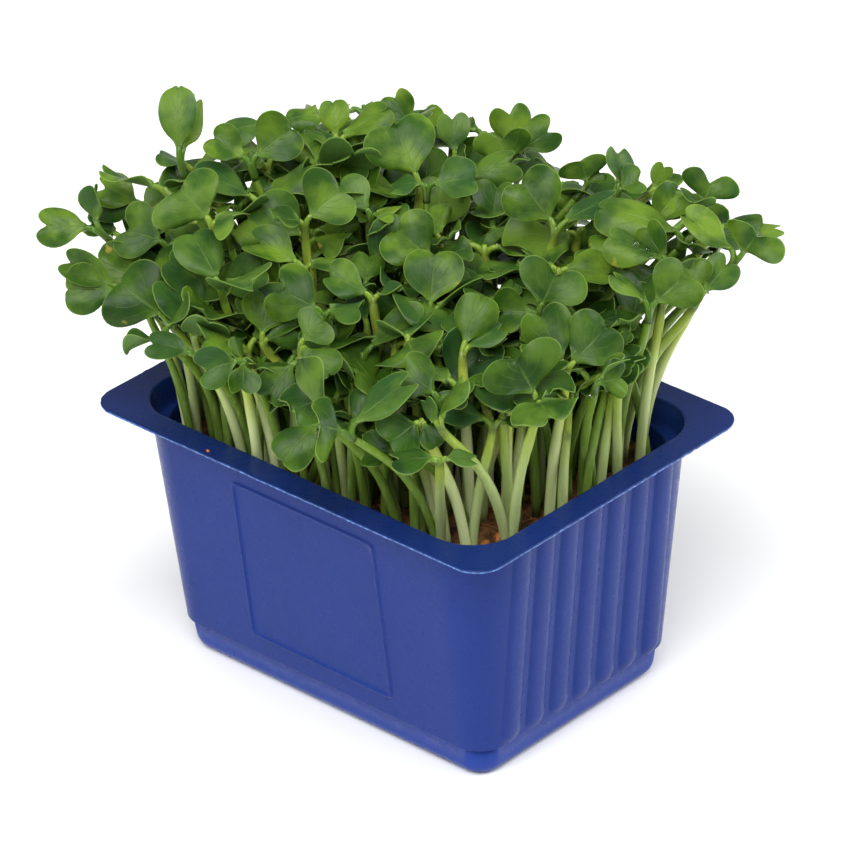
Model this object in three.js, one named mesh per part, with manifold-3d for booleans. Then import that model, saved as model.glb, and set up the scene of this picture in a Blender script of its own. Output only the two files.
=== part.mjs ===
// Punnet of green cress: a blue tray, a brown growing block and clumps of seedlings.
// Millimetres, +Z up, long side along X, origin at the centre of the tray's underside.
import * as THREE from "three";
import Module from "manifold-3d";

const wasm = await Module();
wasm.setup();

// Tray: the wall leans in from the mouth to the foot, and every inset is measured from its top
const RIM_LENGTH = 98;
const RIM_WIDTH = 73.5;
const TRAY_HEIGHT = 53.8;
const RIM_CORNER_RADIUS = 5.8;
const RIM_THICKNESS = 0.6;
const RIM_EDGE_SLANT = 0.1;
const SHELF_SHORT_SIDE = 4.9;
const SHELF_LONG_SIDE = 4.9;
const WALL_DRAFT = 5.5;
const WALL_CORNER_TOP = 10.8;
const WALL_CORNER_FOOT = 5.6;
const PLINTH_HEIGHT = 6.5;
const PLINTH_STEP = 0.5;
const PLINTH_INSET = 1.1;
const PLINTH_CORNER = 4.7;
const PLINTH_EDGE_RADIUS = 2.5;
const PLINTH_WALL = 1;
const FLOOR_THICKNESS = 1.4;
const FLOOR_WALL = 2;
const MOUTH_CORNER = 9.9;
const MOUTH_ROUNDING = 0.5;
const COLLAR_INSET = 1.35;
const LEDGE_INSET = 1.65;
const LEDGE_CORNER = 13.6;
const LEDGE_HEIGHT = 48.5;
const LEDGE_FALL = 0.3;
const CORNER_STEPS = 5;

// Ribs of the short sides. A rib's foot rounds off: rise over the plinth (mm), share of the full
// bulge and share of the full width. Its section has a shoulder: share of the width and bulge.
const RIB_COUNT = 7;
const RIB_PITCH = 6.5;
const RIB_WIDTH = 5.3;
const RIB_BULGE = 0.55;
const RIB_SINK = 0.5;
const RIB_TOP_GAP = 0.4;
const RIB_FOOT = [[0.6, 0.1, 0.55], [1.6, 0.6, 0.85], [3.4, 1, 1]];
const RIB_SHOULDER = [0.62, 0.8];

// Framed panel of the long sides
const PANEL_WIDTH = 36;
const PANEL_FOOT = 10.9;
const PANEL_TOP = 46.3;
const BEAD_WIDTH = 1;
const BEAD_RAISE = 0.3;
const BEAD_SINK = 0.35;

// Growing block and the seed hulls on it. A ring of its top: how far it is drawn in, and its drop.
const SOIL_LEVEL = 44;
const SOIL_GAP = 0.35;
const SOIL_RELIEF = 0.3;
const SOIL_RINGS = [[0, 0.8], [5, 0.4], [15, 0]];
const HULL_COUNT = 8;
const HULL_LENGTH = 1.9;
const HULL_WIDTH = 1.3;
const HULL_HEIGHT = 1;
const HULL_RAISE = 0.5;
const HOLE_RADIUS = 2.7;
const HOLE_DEPTH = 6.35;
const HOLE_SIDES = 5;
const HOLE_OVERSHOOT = 2;

// Root places: a jittered grid, drawn in a little at the corners
const SITE_COLUMNS = 9;
const SITE_ROWS = 6;
const SITE_PITCH_X = 9;
const SITE_PITCH_Y = 9.6;
const SITE_JITTER = 1.1;
const SITE_CORNER_PULL = 0.88;
const SITE_CAPACITY = 2;
const SITE_CHOICES = 3;
const ROOT_DEPTH = 6;
const ROOT_SPREAD = 1;
const ROOT_PULL = 0.74;

// Stems: the knee and the neck steer the curve, and a stem bends over more the lower and
// further out its head is
const STEM_RADIUS = 1.35;
const STEM_SIDES = 4;
const STEM_STEPS = 4;
const STEM_KNEE = 0.68;
const STEM_NECK = 0.25;
const STEM_BEND = 2.6;

// Leaves. Rows of a blade's outline run from its stalk to its notch: a stalk row is a place along
// the leaf and a width in stalk widths, and any other row is points [along, across], as shares of
// the length and of half the width.
const BLADE_THICKNESS = 0.75;
const STALK_HALF_WIDTH = 0.65;
const BLADE_FOLD = 0.2;
const BLADE_DROOP = 0.08;
const WIDE_BLADE = 9;
const LEAF_STALK = [-0.06, 1];
const WIDE_LEAF_NECK = [0.2, 1.2];
const SMALL_LEAF_NECK = [0.24, 1.4];
const LEAF_SHOULDERS = [[0.42, -0.8], [0.5, 0], [0.42, 0.8]];
const LEAF_MIDDLE = [[0.78, -1.06], [0.8, 0], [0.78, 1.06]];
const LEAF_LOBES = [[1.14, -0.62], [1, 0], [1.14, 0.62]];
const PARTNER_LENGTH = 0.75;
const PARTNER_WIDTH = 0.8;
const PARTNER_RISE = 0.5;

// The leaves' heads lie near a plane that rises away from the eye
const CANOPY_HEIGHT = 86;
const CANOPY_SLOPE = 0.3;

// Seating: distance kept between neighbours, the spots of a leaf where it is measured, and the
// pushes along the sight line that are tried
const CLEARANCE = 2.3;
const STEM_SAMPLES = 12;
const LEAF_SPOTS = [
  [0.3, 0], [0.55, -0.6], [0.55, 0.6], [0.6, 0], [0.85, -0.9],
  [0.85, -0.3], [0.85, 0.3], [0.85, 0.9], [1.08, -0.6], [1.08, 0.6],
];
const PUSHES = [0, 1.5, 3, -1.5, 4.5, 6, 7.5, -3];

// Fill: lower seedlings where there is still room, the barest places first
const FILL_TRIES = 40;
const FILL_LIMIT = 9;
const FILL_SPREAD = 1.15;
const FILL_WANDER = 2.5;
const FILL_DROP = [2, 14];
const FILL_LEAF_RISE = [0.1, 0.6];
const FILL_LEAF_LENGTH = [9, 12];
const FILL_LEAF_WIDTH = [7, 9.5];

const CROSSING_VOLUME = 0.004;
const JOIN_TOLERANCE = 0.08;
const SITE_SEED = 7;
const FILL_SEED = 23;
const SOIL_SEED = 41;

// Sighting frame: the direction from which the seedlings were read. A place on the sighting
// plane is given in steps of 1 / FOCAL of the distance, counted right and down.
const AZIMUTH = THREE.MathUtils.degToRad(43.27);
const ELEVATION = THREE.MathUtils.degToRad(30.2);
const ROLL = THREE.MathUtils.degToRad(-1.96);
const DISTANCE = 1090;
const FOCAL = 5911;
const SIGHT_CENTRE = [427, 427.5];
const TARGET = new THREE.Vector3(2.74, 0, 50.85);

const UP = new THREE.Vector3(0, 0, 1);
const AHEAD = new THREE.Vector3(-Math.sin(AZIMUTH), Math.cos(AZIMUTH), 0);
const LEVEL_RIGHT = new THREE.Vector3(Math.cos(AZIMUTH), Math.sin(AZIMUTH), 0);
const BACK = combine([-Math.cos(ELEVATION), AHEAD], [Math.sin(ELEVATION), UP]);
const LEVEL_UP = new THREE.Vector3().crossVectors(BACK, LEVEL_RIGHT);
const SIGHT_RIGHT = combine([Math.cos(ROLL), LEVEL_RIGHT], [Math.sin(ROLL), LEVEL_UP]);
const SIGHT_UP = combine([-Math.sin(ROLL), LEVEL_RIGHT], [Math.cos(ROLL), LEVEL_UP]);
const EYE = combine([1, TARGET], [DISTANCE, BACK]);

// Seedlings that can be told apart, nearest first. One has the place of its head on the sighting
// plane, how far it is pushed back (mm), where its stem passes the tray's mouth (or null), and
// its leaves. A leaf has the place of its notch, how far it leans to the eye (degrees), its
// width (mm), how much it faces the eye rather than the sky, and how much it faces right.
const SEEN = [
  seen([344, 432], 0, [440, 520], leaf(322, 425, 35, 12, 0.6, -0.5), leaf(402, 382, 0, 7.5, 0.4, -0.4)),
  seen([322, 420], 2, [392, 510], leaf(304, 367, 10, 7, 0.7, -1), leaf(287, 451, 20, 7.5, 0.8, -0.3)),
  seen([421, 419], -1, [450, 520], leaf(393, 440, 15, 9.5, 1, 0), leaf(437, 441, 10, 4.5, 0.8, 0.6)),
  seen([440, 459], -3, [470, 545], leaf(397, 458, 5, 7, 0.2, 0)),
  seen([398, 452], 3, [418, 520], leaf(366, 450, 0, 7, 0.6, 0)),
  seen([438, 425], -4, [517, 545], leaf(456, 382, 10, 6, 0.2, -1.2), leaf(424, 404, 10, 4, 0.5, -1)),
  seen([538, 400], -4, [549, 520], leaf(515, 358, 5, 14.5, 1, 0), leaf(546, 412, 72, 12, -1, -0.4)),
  seen([494, 421], -1, [532, 535], leaf(442, 405, 5, 6.5, 0.5, 0)),
  seen([596, 383], -2, [588, 480], leaf(620, 357, 0, 7, -0.6, -1), leaf(621, 378, 15, 7, 1, 0.3)),
  seen([566, 370], 0, [575, 495], leaf(603, 330, 5, 10.5, 0.8, 0.1), leaf(541, 317, 0, 9, 0.9, -0.1)),
  seen([243, 359], 1, [262, 450], leaf(204, 370, 10, 7.5, 1, 0), leaf(243, 389, 15, 6, 1, 0.4)),
  seen([300, 343], -3, null, leaf(326, 370, 25, 8, 0.9, 0.2), leaf(320, 322, 10, 8, 0.6, 0)),
  seen([297, 358], 2, null, leaf(270, 394, 10, 6.5, 1, -0.2)),
  seen([408, 338], 0, null, leaf(413, 353, 58, 13, 0.2, -0.5)),
  seen([440, 398], 4, null, leaf(404, 368, 0, 9, 0.8, 0)),
  seen([462, 351], -1, [470, 500], leaf(478, 303, 0, 7.5, 0.9, -0.1), leaf(497, 328, 0, 5.5, 0.5, -0.7)),
  seen([350, 425], 4, null, leaf(372, 398, 0, 7, 0.8, 0)),
  seen([163, 334], 7, [192, 430], leaf(128, 346, 0, 8, -0.85, 0), leaf(185, 297, 0, 8, -0.7, -1)),
  seen([168, 320], 6, null, leaf(125, 287, 5, 13.5, 1, -0.1)),
  seen([196, 354], 10, [212, 440], leaf(154, 341, 0, 6, 0.5, 0)),
  seen([324, 312], -1, null, leaf(279, 288, 5, 10.5, 0.9, 0)),
  seen([261, 341], 2, null, leaf(268, 298, 0, 8.5, 1, 0), leaf(294, 330, 5, 6, 1, 0.2)),
  seen([362, 352], 1, null, leaf(418, 317, 0, 8, 0.2, -0.4)),
  seen([538, 311], 0, null, leaf(557, 272, 15, 12.5, 0.9, 0.1), leaf(499, 312, 5, 8, 0.8, 0)),
  seen([430, 313], 1, null, leaf(434, 258, 0, 10.5, 0.9, 0), leaf(474, 278, 0, 6, -0.8, -1)),
  seen([650, 307], -3, [650, 435], leaf(684, 276, 5, 10, 0.8, 0.2), leaf(622, 273, 0, 8, 0.2, 1.2)),
  seen([700, 297], 1, [664, 425], leaf(690, 266, 0, 7.5, 0.9, 0), leaf(727, 264, 0, 6.5, 0.9, 0.2)),
  seen([741, 256], -11, [658, 440], leaf(756, 235, 30, 11.5, 1, 0), leaf(690, 218, 0, 6.5, 0.35, 0.2)),
  seen([373, 297], 0, null, leaf(333, 275, 5, 7.5, 0.5, 0), leaf(399, 288, 0, 6, -0.5, 0)),
  seen([367, 324], 2, null, leaf(358, 297, 0, 6, 0.9, -0.5)),
  seen([160, 292], 8, null, leaf(104, 262, 0, 9.5, 0.8, -0.2)),
  seen([124, 290], 6, null, leaf(74, 288, 5, 9, 0.8, -0.4), leaf(70, 262, 0, 6, 0.6, -0.5)),
  seen([436, 263], 1, null, leaf(399, 231, 5, 11.5, 0.65, -0.1)),
  seen([304, 266], 0, null, leaf(257, 238, 5, 7.5, 0.3, -0.3)),
  seen([558, 268], 1, null, leaf(603, 271, 5, 7, 0.5, 0), leaf(523, 259, 0, 7, -0.8, 0)),
  seen([580, 228], -1, null, leaf(523, 251, 20, 14.5, 0.15, 0), leaf(604, 233, 10, 6, 0.8, 0.2)),
  seen([630, 285], 1, null, leaf(591, 248, 0, 8, 0.7, 0)),
  seen([668, 262], -2, null, leaf(645, 231, 0, 7, 0.5, -0.9), leaf(616, 238, 0, 7.5, 0.5, 0.3)),
  seen([168, 244], 0, null, leaf(126, 228, 5, 10.5, 0.8, -0.1)),
  seen([212, 223], -2, null, leaf(184, 191, 10, 14.5, 0.7, 0)),
  seen([226, 232], 2, null, leaf(254, 233, 0, 6, 0.5, 0)),
  seen([97, 228], 1, null, leaf(43, 224, 0, 7.5, 0.75, -0.3), leaf(92, 190, 0, 6, 0.4, -0.9)),
  seen([309, 240], 2, null, leaf(264, 208, 0, 9.5, 0.7, -0.2)),
  seen([311, 229], 4, null, leaf(353, 232, 0, 5.5, 0.4, 0)),
  seen([304, 222], 0, null, leaf(338, 192, 5, 11.5, 0.85, 0)),
  seen([440, 240], 5, null, leaf(427, 213, 0, 10, 0.3, 0)),
  seen([690, 236], -5, null, leaf(614, 206, 0, 8.5, 0.45, 0)),
  seen([556, 227], 1, null, leaf(523, 184, 5, 11.5, 0.8, 0), leaf(609, 195, 0, 7, 0.1, 0.3)),
  seen([492, 226], 3, null, leaf(497, 187, 5, 8, 0.9, 0), leaf(500, 238, 30, 6, 0.5, 0)),
  seen([372, 215], 4, null, leaf(344, 185, 0, 7, 0.6, 0.2)),
  seen([714, 228], -6, null, leaf(757, 222, 0, 7.5, 0.4, 0), leaf(777, 223, -10, 5, 0.15, 0)),
  seen([146, 206], 2, null, leaf(103, 184, 0, 7, 0.35, -0.3), leaf(99, 205, -10, 5.5, 0.6, -0.5)),
  seen([262, 202], 1, null, leaf(302, 163, 5, 8, 0.2, -0.8), leaf(204, 170, 0, 7.5, 0.1, 0)),
  seen([702, 206], -10, null, leaf(713, 176, 10, 10.5, 1, 0.1)),
  seen([426, 184], 1, null, leaf(470, 178, 5, 8.5, 0.6, 0)),
  seen([420, 184], -1, null, leaf(396, 129, 0, 13, 1, 0)),
  seen([462, 180], 1, null, leaf(509, 160, 5, 6.5, 0.6, -0.1)),
  seen([650, 225], 0, null, leaf(676, 194, 0, 7, 1, 0.2), leaf(698, 200, 0, 4, 0.3, 0)),
  seen([652, 192], -5, null, leaf(699, 190, 0, 6, -0.5, 0), leaf(664, 168, 0, 4, 0.3, 0.6)),
  seen([164, 188], 3, null, leaf(108, 173, 0, 8, -0.8, 0)),
  seen([250, 161], 1, null, leaf(287, 131, 5, 9.5, 0.85, 0), leaf(215, 138, 0, 7, 0.6, -0.2)),
  seen([588, 184], 4, null, leaf(581, 162, 20, 9, 1, 0), leaf(600, 172, 0, 4, 0.3, 0.5)),
  seen([618, 190], -1, null, leaf(622, 153, 0, 6.5, 0.6, 0.8), leaf(640, 180, 10, 7, 0.4, 0.3)),
  seen([192, 168], 6, null, leaf(163, 154, 0, 8, -0.5, 0), leaf(228, 150, 0, 8, -0.3, 0)),
  seen([506, 168], 3, null, leaf(501, 135, 10, 10.5, 1, 0)),
  seen([455, 158], 5, null, leaf(452, 119, 5, 6, 0.8, 0), leaf(464, 152, 20, 6, 0.2, 0.3)),
  seen([179, 160], 1, null, leaf(177, 100, 8, 8.5, 1, -0.1), leaf(201, 105, -12, 5, -0.2, 1.5)),
  seen([336, 142], 4, null, leaf(333, 106, 5, 5.5, 0.9, 0), leaf(381, 110, 0, 6.5, 0.3, 0)),
  seen([518, 152], 5, null, leaf(509, 112, 10, 7.5, 0.9, 0), leaf(551, 130, 5, 7, 0.9, 0.2)),
  seen([412, 128], 6, null, leaf(394, 98, 5, 6.5, 0.8, -0.3), leaf(352, 122, 0, 6, 0.4, 0)),
  seen([275, 125], 7, null, leaf(230, 127, 0, 7, 0.3, 0), leaf(312, 112, 0, 6, 0.4, 0)),
];

// Small helpers

function combine(...terms) {
  const sum = new THREE.Vector3();
  terms.forEach(([factor, vector]) => sum.addScaledVector(vector, factor));
  return sum;
}

function seen(head, push, mouth, ...leaves) {
  return { head, push, mouth, leaves };
}

function leaf(across, down, lean, width, faceEye, faceRight) {
  return { notch: [across, down], lean, width, faceEye, faceRight };
}

function seededRandom(seed) {
  let state = seed;
  return () => {
    state = (Math.imul(state, 1664525) + 1013904223) >>> 0;
    return state / 4294967296;
  };
}

const between = (random, low, high) => low + (high - low) * random();

// Bodies: closed solids, made from indexed points and faces

function bodyOf(points, faces) {
  const mesh = new wasm.Mesh({
    numProp: 3,
    vertProperties: new Float32Array(points.flat()),
    triVerts: new Uint32Array(faces.flat()),
  });
  return new wasm.Manifold(mesh);
}

function bodyOfGeometry(geometry) {
  const places = geometry.getAttribute("position");
  const corners = geometry.index ? [...geometry.index.array] : [...Array(places.count).keys()];
  const known = new Map();
  const points = [];
  const merged = corners.map((corner) => {
    const point = [places.getX(corner), places.getY(corner), places.getZ(corner)];
    const key = point.map((value) => Math.round(value * 1e4)).join(",");
    if (!known.has(key)) {
      known.set(key, points.length);
      points.push(point);
    }
    return known.get(key);
  });
  const faces = [];
  for (let start = 0; start < merged.length; start += 3) {
    faces.push(merged.slice(start, start + 3));
  }
  return bodyOf(points, faces.filter((face) => new Set(face).size === 3));
}

function meshOf(name, body, material) {
  const { vertProperties, triVerts } = body.simplify(JOIN_TOLERANCE).getMesh();
  const geometry = new THREE.BufferGeometry();
  geometry.setAttribute("position", new THREE.BufferAttribute(vertProperties, 3));
  geometry.setIndex(new THREE.BufferAttribute(triVerts, 1));
  geometry.computeVertexNormals();
  const mesh = new THREE.Mesh(geometry, material);
  mesh.name = name;
  return mesh;
}

// Closed skin through rings of equal length, from the bottom cap up or from outside to inside
function skin(rings) {
  const count = rings[0].length;
  const faces = [];
  for (let level = 0; level + 1 < rings.length; level += 1) {
    for (let step = 0; step < count; step += 1) {
      const a = level * count + step;
      const b = level * count + ((step + 1) % count);
      faces.push([a, b, b + count], [a, b + count, a + count]);
    }
  }
  const last = (rings.length - 1) * count;
  for (let step = 1; step + 1 < count; step += 1) {
    faces.push([0, step + 1, step], [last, last + step, last + step + 1]);
  }
  return bodyOf(rings.flat(), faces);
}

function roundedRing(halfLength, halfWidth, radius, height) {
  const ring = [];
  for (let corner = 0; corner < 4; corner += 1) {
    const signX = corner === 0 || corner === 3 ? 1 : -1;
    const signY = corner < 2 ? 1 : -1;
    for (let step = 0; step <= CORNER_STEPS; step += 1) {
      const angle = (corner + step / CORNER_STEPS) * (Math.PI / 2);
      ring.push([
        signX * (halfLength - radius) + radius * Math.cos(angle),
        signY * (halfWidth - radius) + radius * Math.sin(angle),
        height,
      ]);
    }
  }
  return ring;
}

// Tray

const wallHalfLength = RIM_LENGTH / 2 - SHELF_SHORT_SIDE;
const wallHalfWidth = RIM_WIDTH / 2 - SHELF_LONG_SIDE;
const wallInset = (height) => WALL_DRAFT * (1 - height / TRAY_HEIGHT);
const plinthInset = (height) => wallInset(height) + PLINTH_INSET;
const mix = (low, high, share) => low + (high - low) * share;

function wallRing(inset, radius, height) {
  return roundedRing(wallHalfLength - inset, wallHalfWidth - inset, radius, height);
}

function rimRing(inset, height) {
  const halfLength = RIM_LENGTH / 2 - inset;
  return roundedRing(halfLength, RIM_WIDTH / 2 - inset, RIM_CORNER_RADIUS - inset, height);
}

function plinthRings() {
  const edge = [0, 30, 60, 90].map((turn) => {
    const angle = THREE.MathUtils.degToRad(turn);
    const tuck = PLINTH_EDGE_RADIUS * (1 - Math.sin(angle));
    const height = PLINTH_EDGE_RADIUS * (1 - Math.cos(angle));
    return wallRing(plinthInset(height) + tuck, PLINTH_CORNER - tuck, height);
  });
  return [...edge, wallRing(plinthInset(PLINTH_HEIGHT), PLINTH_CORNER, PLINTH_HEIGHT)];
}

function outerWallRings() {
  const foot = PLINTH_HEIGHT + PLINTH_STEP;
  const top = TRAY_HEIGHT - RIM_THICKNESS;
  return [foot, top].map((height) => {
    const radius = mix(WALL_CORNER_FOOT, WALL_CORNER_TOP, height / TRAY_HEIGHT);
    return wallRing(wallInset(height), radius, height);
  });
}

function mouthRings() {
  return [
    rimRing(RIM_EDGE_SLANT, TRAY_HEIGHT - RIM_THICKNESS),
    rimRing(0, TRAY_HEIGHT),
    wallRing(MOUTH_ROUNDING / 2, MOUTH_CORNER, TRAY_HEIGHT),
    wallRing(MOUTH_ROUNDING * 1.5, MOUTH_CORNER - MOUTH_ROUNDING / 2, TRAY_HEIGHT - MOUTH_ROUNDING),
    wallRing(COLLAR_INSET, MOUTH_CORNER - MOUTH_ROUNDING, LEDGE_HEIGHT),
  ];
}

function innerRing(height, gap) {
  const share = (height - PLINTH_HEIGHT) / (LEDGE_HEIGHT - LEDGE_FALL - PLINTH_HEIGHT);
  const inset = mix(plinthInset(PLINTH_HEIGHT) + PLINTH_WALL, LEDGE_INSET, share);
  return wallRing(inset + gap, mix(PLINTH_CORNER, LEDGE_CORNER, share) - gap, height);
}

function floorRing(gap) {
  const inset = plinthInset(0) + FLOOR_WALL + gap;
  return wallRing(inset, PLINTH_CORNER - gap, FLOOR_THICKNESS + gap);
}

function ribBody(side, middle) {
  const top = [TRAY_HEIGHT - RIB_TOP_GAP - PLINTH_HEIGHT, 1, 1];
  const [across, out] = RIB_SHOULDER;
  const rings = [...RIB_FOOT, top].map(([rise, bulgeShare, widthShare]) => {
    const height = PLINTH_HEIGHT + rise;
    const face = wallHalfLength - wallInset(height);
    const half = (RIB_WIDTH / 2) * widthShare;
    const bulge = RIB_BULGE * bulgeShare;
    const profile = [
      [-RIB_SINK, -half],
      [0, -half],
      [bulge * out, -half * across],
      [bulge, 0],
      [bulge * out, half * across],
      [0, half],
      [-RIB_SINK, half],
    ];
    return profile.map(([depth, along]) => [side * (face + depth), middle + side * along, height]);
  });
  return skin(rings);
}

function panelBead(side) {
  const frame = (inset) => {
    const half = PANEL_WIDTH / 2 - inset;
    const corners = [[-half, PANEL_FOOT + inset], [half, PANEL_FOOT + inset]];
    corners.push([half, PANEL_TOP - inset], [-half, PANEL_TOP - inset]);
    return corners.map(([x, y]) => new THREE.Vector2(x, y));
  };
  const shape = new THREE.Shape(frame(BEAD_RAISE));
  shape.holes.push(new THREE.Path(frame(BEAD_WIDTH - BEAD_RAISE).reverse()));
  const geometry = new THREE.ExtrudeGeometry(shape, {
    depth: BEAD_SINK,
    bevelEnabled: true,
    bevelThickness: BEAD_RAISE,
    bevelSize: BEAD_RAISE,
    bevelSegments: 1,
    steps: 1,
  });
  const lean = Math.atan(WALL_DRAFT / TRAY_HEIGHT);
  const face = wallHalfWidth - wallInset(0);
  geometry.translate(0, 0, -BEAD_SINK);
  geometry.rotateX(Math.PI / 2 + lean);
  geometry.translate(0, -face, 0);
  if (side > 0) {
    geometry.rotateZ(Math.PI);
  }
  return bodyOfGeometry(geometry);
}

function punnet() {
  const inside = [innerRing(LEDGE_HEIGHT - LEDGE_FALL, 0), innerRing(PLINTH_HEIGHT, 0), floorRing(0)];
  let body = skin([...plinthRings(), ...outerWallRings(), ...mouthRings(), ...inside]);
  for (const side of [-1, 1]) {
    for (let index = 0; index < RIB_COUNT; index += 1) {
      body = body.add(ribBody(side, (index - (RIB_COUNT - 1) / 2) * RIB_PITCH));
    }
    body = body.add(panelBead(side));
  }
  return body;
}

// Root places

function rootSites() {
  const random = seededRandom(SITE_SEED);
  const sites = [];
  for (let row = 0; row < SITE_ROWS; row += 1) {
    for (let column = 0; column < SITE_COLUMNS; column += 1) {
      const endColumn = column === 0 || column === SITE_COLUMNS - 1;
      const endRow = row === 0 || row === SITE_ROWS - 1;
      const pull = endColumn && endRow ? SITE_CORNER_PULL : 1;
      const x = (column - (SITE_COLUMNS - 1) / 2) * SITE_PITCH_X;
      const y = (row - (SITE_ROWS - 1) / 2) * SITE_PITCH_Y;
      const jitterX = between(random, -SITE_JITTER, SITE_JITTER);
      const jitterY = between(random, -SITE_JITTER, SITE_JITTER);
      sites.push({ x: x * pull + jitterX, y: y * pull + jitterY, seedlings: [] });
    }
  }
  return sites;
}

function nearestSites(sites, x, y) {
  const far = (site) => Math.hypot(site.x - x, site.y - y);
  const free = sites.filter((site) => site.seedlings.length < SITE_CAPACITY);
  return free.sort((a, b) => far(a) - far(b)).slice(0, SITE_CHOICES);
}

// Sight lines

function sightLine([across, down]) {
  const right = (across - SIGHT_CENTRE[0]) / FOCAL;
  const up = (SIGHT_CENTRE[1] - down) / FOCAL;
  return combine([-1, BACK], [right, SIGHT_RIGHT], [up, SIGHT_UP]);
}

function onCanopy(place, push) {
  const line = sightLine(place);
  const fall = CANOPY_HEIGHT + CANOPY_SLOPE * AHEAD.dot(EYE) - EYE.z;
  const reach = fall / (line.z - CANOPY_SLOPE * AHEAD.dot(line));
  return combine([1, EYE], [reach + push / AHEAD.dot(line), line]);
}

function onRim(place) {
  const line = sightLine(place);
  return combine([1, EYE], [(TRAY_HEIGHT - EYE.z) / line.z, line]);
}

// Leaves as axes: forward from the head to the notch, the face's normal, and the side

function bladeAxes(head, reach, facing, width) {
  const forward = reach.clone().normalize();
  const normal = combine([1, facing], [-facing.dot(forward), forward]).normalize();
  const side = new THREE.Vector3().crossVectors(forward, normal);
  return { head, forward, normal, side, length: reach.length(), width };
}

function seenBlade(head, { notch, lean, width, faceEye, faceRight }) {
  const distance = DISTANCE - BACK.dot(combine([1, head], [-1, TARGET]));
  const flat = combine([1, EYE], [distance, sightLine(notch)], [-1, head]);
  const toEye = Math.tan(THREE.MathUtils.degToRad(lean)) * flat.length();
  const reach = combine([1, flat], [toEye, BACK]);
  const facing = combine([1 - faceEye, UP], [faceEye, BACK], [faceRight, LEVEL_RIGHT]);
  return bladeAxes(head, reach, facing, width);
}

// The second leaf of a pair, where only one is seen: smaller, across the stem
function partnerBlade(blade) {
  const reach = blade.forward.clone().multiplyScalar(blade.length * PARTNER_LENGTH);
  reach.x *= -1;
  reach.y *= -1;
  reach.z = Math.abs(reach.z) * PARTNER_RISE;
  return bladeAxes(blade.head, reach, UP, blade.width * PARTNER_WIDTH);
}

function bladePoint(blade, along, across) {
  const half = (blade.width / 2) * Math.abs(across);
  const lift = BLADE_FOLD * half - BLADE_DROOP * blade.length * along * along;
  return combine(
    [1, blade.head],
    [along * blade.length, blade.forward],
    [across * (blade.width / 2), blade.side],
    [lift, blade.normal],
  );
}

// A stem rises upright from its root place and leans over to its head
function stemCurve(site, head) {
  const away = new THREE.Vector3(head.x - site.x, head.y - site.y, 0);
  const spread = away.clone().normalize().multiplyScalar(ROOT_SPREAD);
  const foot = new THREE.Vector3(site.x, site.y, SOIL_LEVEL - ROOT_DEPTH);
  const rise = head.z - foot.z;
  const knee = combine([1, foot], [1, spread], [rise * STEM_KNEE, UP]);
  const height = head.z - SOIL_LEVEL;
  const bend = STEM_BEND * (away.length() / height);
  const arrival = combine([bend, away], [height, UP]).normalize();
  const neck = combine([1, head], [-STEM_NECK * rise, arrival]);
  return new THREE.CubicBezierCurve3(foot, knee, neck, head);
}

// Seating: a seedling goes to the first seat where it is clear of those already there

function samplesOf(seedling) {
  const samples = [];
  for (let step = 1; step <= STEM_SAMPLES; step += 1) {
    samples.push(seedling.stem.getPoint(step / STEM_SAMPLES));
  }
  for (const blade of seedling.blades) {
    LEAF_SPOTS.forEach(([along, across]) => samples.push(bladePoint(blade, along, across)));
  }
  return samples;
}

function clashes(seedling, sites) {
  let count = 0;
  for (const site of sites) {
    for (const other of site.seedlings) {
      for (const point of seedling.samples) {
        const shared = site === seedling.site && point.z < SOIL_LEVEL + ROOT_DEPTH;
        const near = (spot) => spot.distanceToSquared(point) < CLEARANCE * CLEARANCE;
        if (!shared && other.samples.some(near)) {
          count += 1;
        }
      }
    }
  }
  return count;
}

function seedlingAt(site, head, blades) {
  const seedling = { site, head, blades, stem: stemCurve(site, head) };
  seedling.samples = samplesOf(seedling);
  return seedling;
}

function seatSeen(entry, sites) {
  let best = null;
  for (const partnered of entry.leaves.length === 1 ? [true, false] : [false]) {
    for (const extra of PUSHES) {
      const head = onCanopy(entry.head, entry.push + extra);
      const blades = entry.leaves.map((seenLeaf) => seenBlade(head, seenLeaf));
      if (partnered) {
        blades.push(partnerBlade(blades[0]));
      }
      const root = entry.mouth ? onRim(entry.mouth) : combine([ROOT_PULL, head]);
      for (const site of nearestSites(sites, root.x, root.y)) {
        const seedling = seedlingAt(site, head, blades);
        const count = clashes(seedling, sites);
        if (best === null || count < best.count) {
          best = { seedling, count };
        }
        if (count === 0) {
          site.seedlings.push(seedling);
          return;
        }
      }
    }
  }
  best.seedling.site.seedlings.push(best.seedling);
}

function fillSeedling(site, random) {
  const head = new THREE.Vector3(site.x * FILL_SPREAD, site.y * FILL_SPREAD, 0);
  head.x += between(random, -FILL_WANDER, FILL_WANDER);
  head.y += between(random, -FILL_WANDER, FILL_WANDER);
  head.z = CANOPY_HEIGHT + CANOPY_SLOPE * AHEAD.dot(head) - between(random, ...FILL_DROP);
  const turn = between(random, 0, Math.PI);
  const blades = [0, Math.PI].map((half) => {
    const reach = new THREE.Vector3(Math.cos(turn + half), Math.sin(turn + half), 0);
    reach.z = between(random, ...FILL_LEAF_RISE);
    reach.normalize().multiplyScalar(between(random, ...FILL_LEAF_LENGTH));
    return bladeAxes(head, reach, UP, between(random, ...FILL_LEAF_WIDTH));
  });
  return seedlingAt(site, head, blades);
}

// Places furthest from any head come first
function barestFirst(sites) {
  const heads = sites.flatMap((site) => site.seedlings.map((seedling) => seedling.head));
  const bareness = ({ x, y }) => {
    const far = (head) => Math.hypot(head.x - x * FILL_SPREAD, head.y - y * FILL_SPREAD);
    return Math.min(...heads.map(far));
  };
  return [...sites].sort((a, b) => bareness(b) - bareness(a));
}

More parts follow.
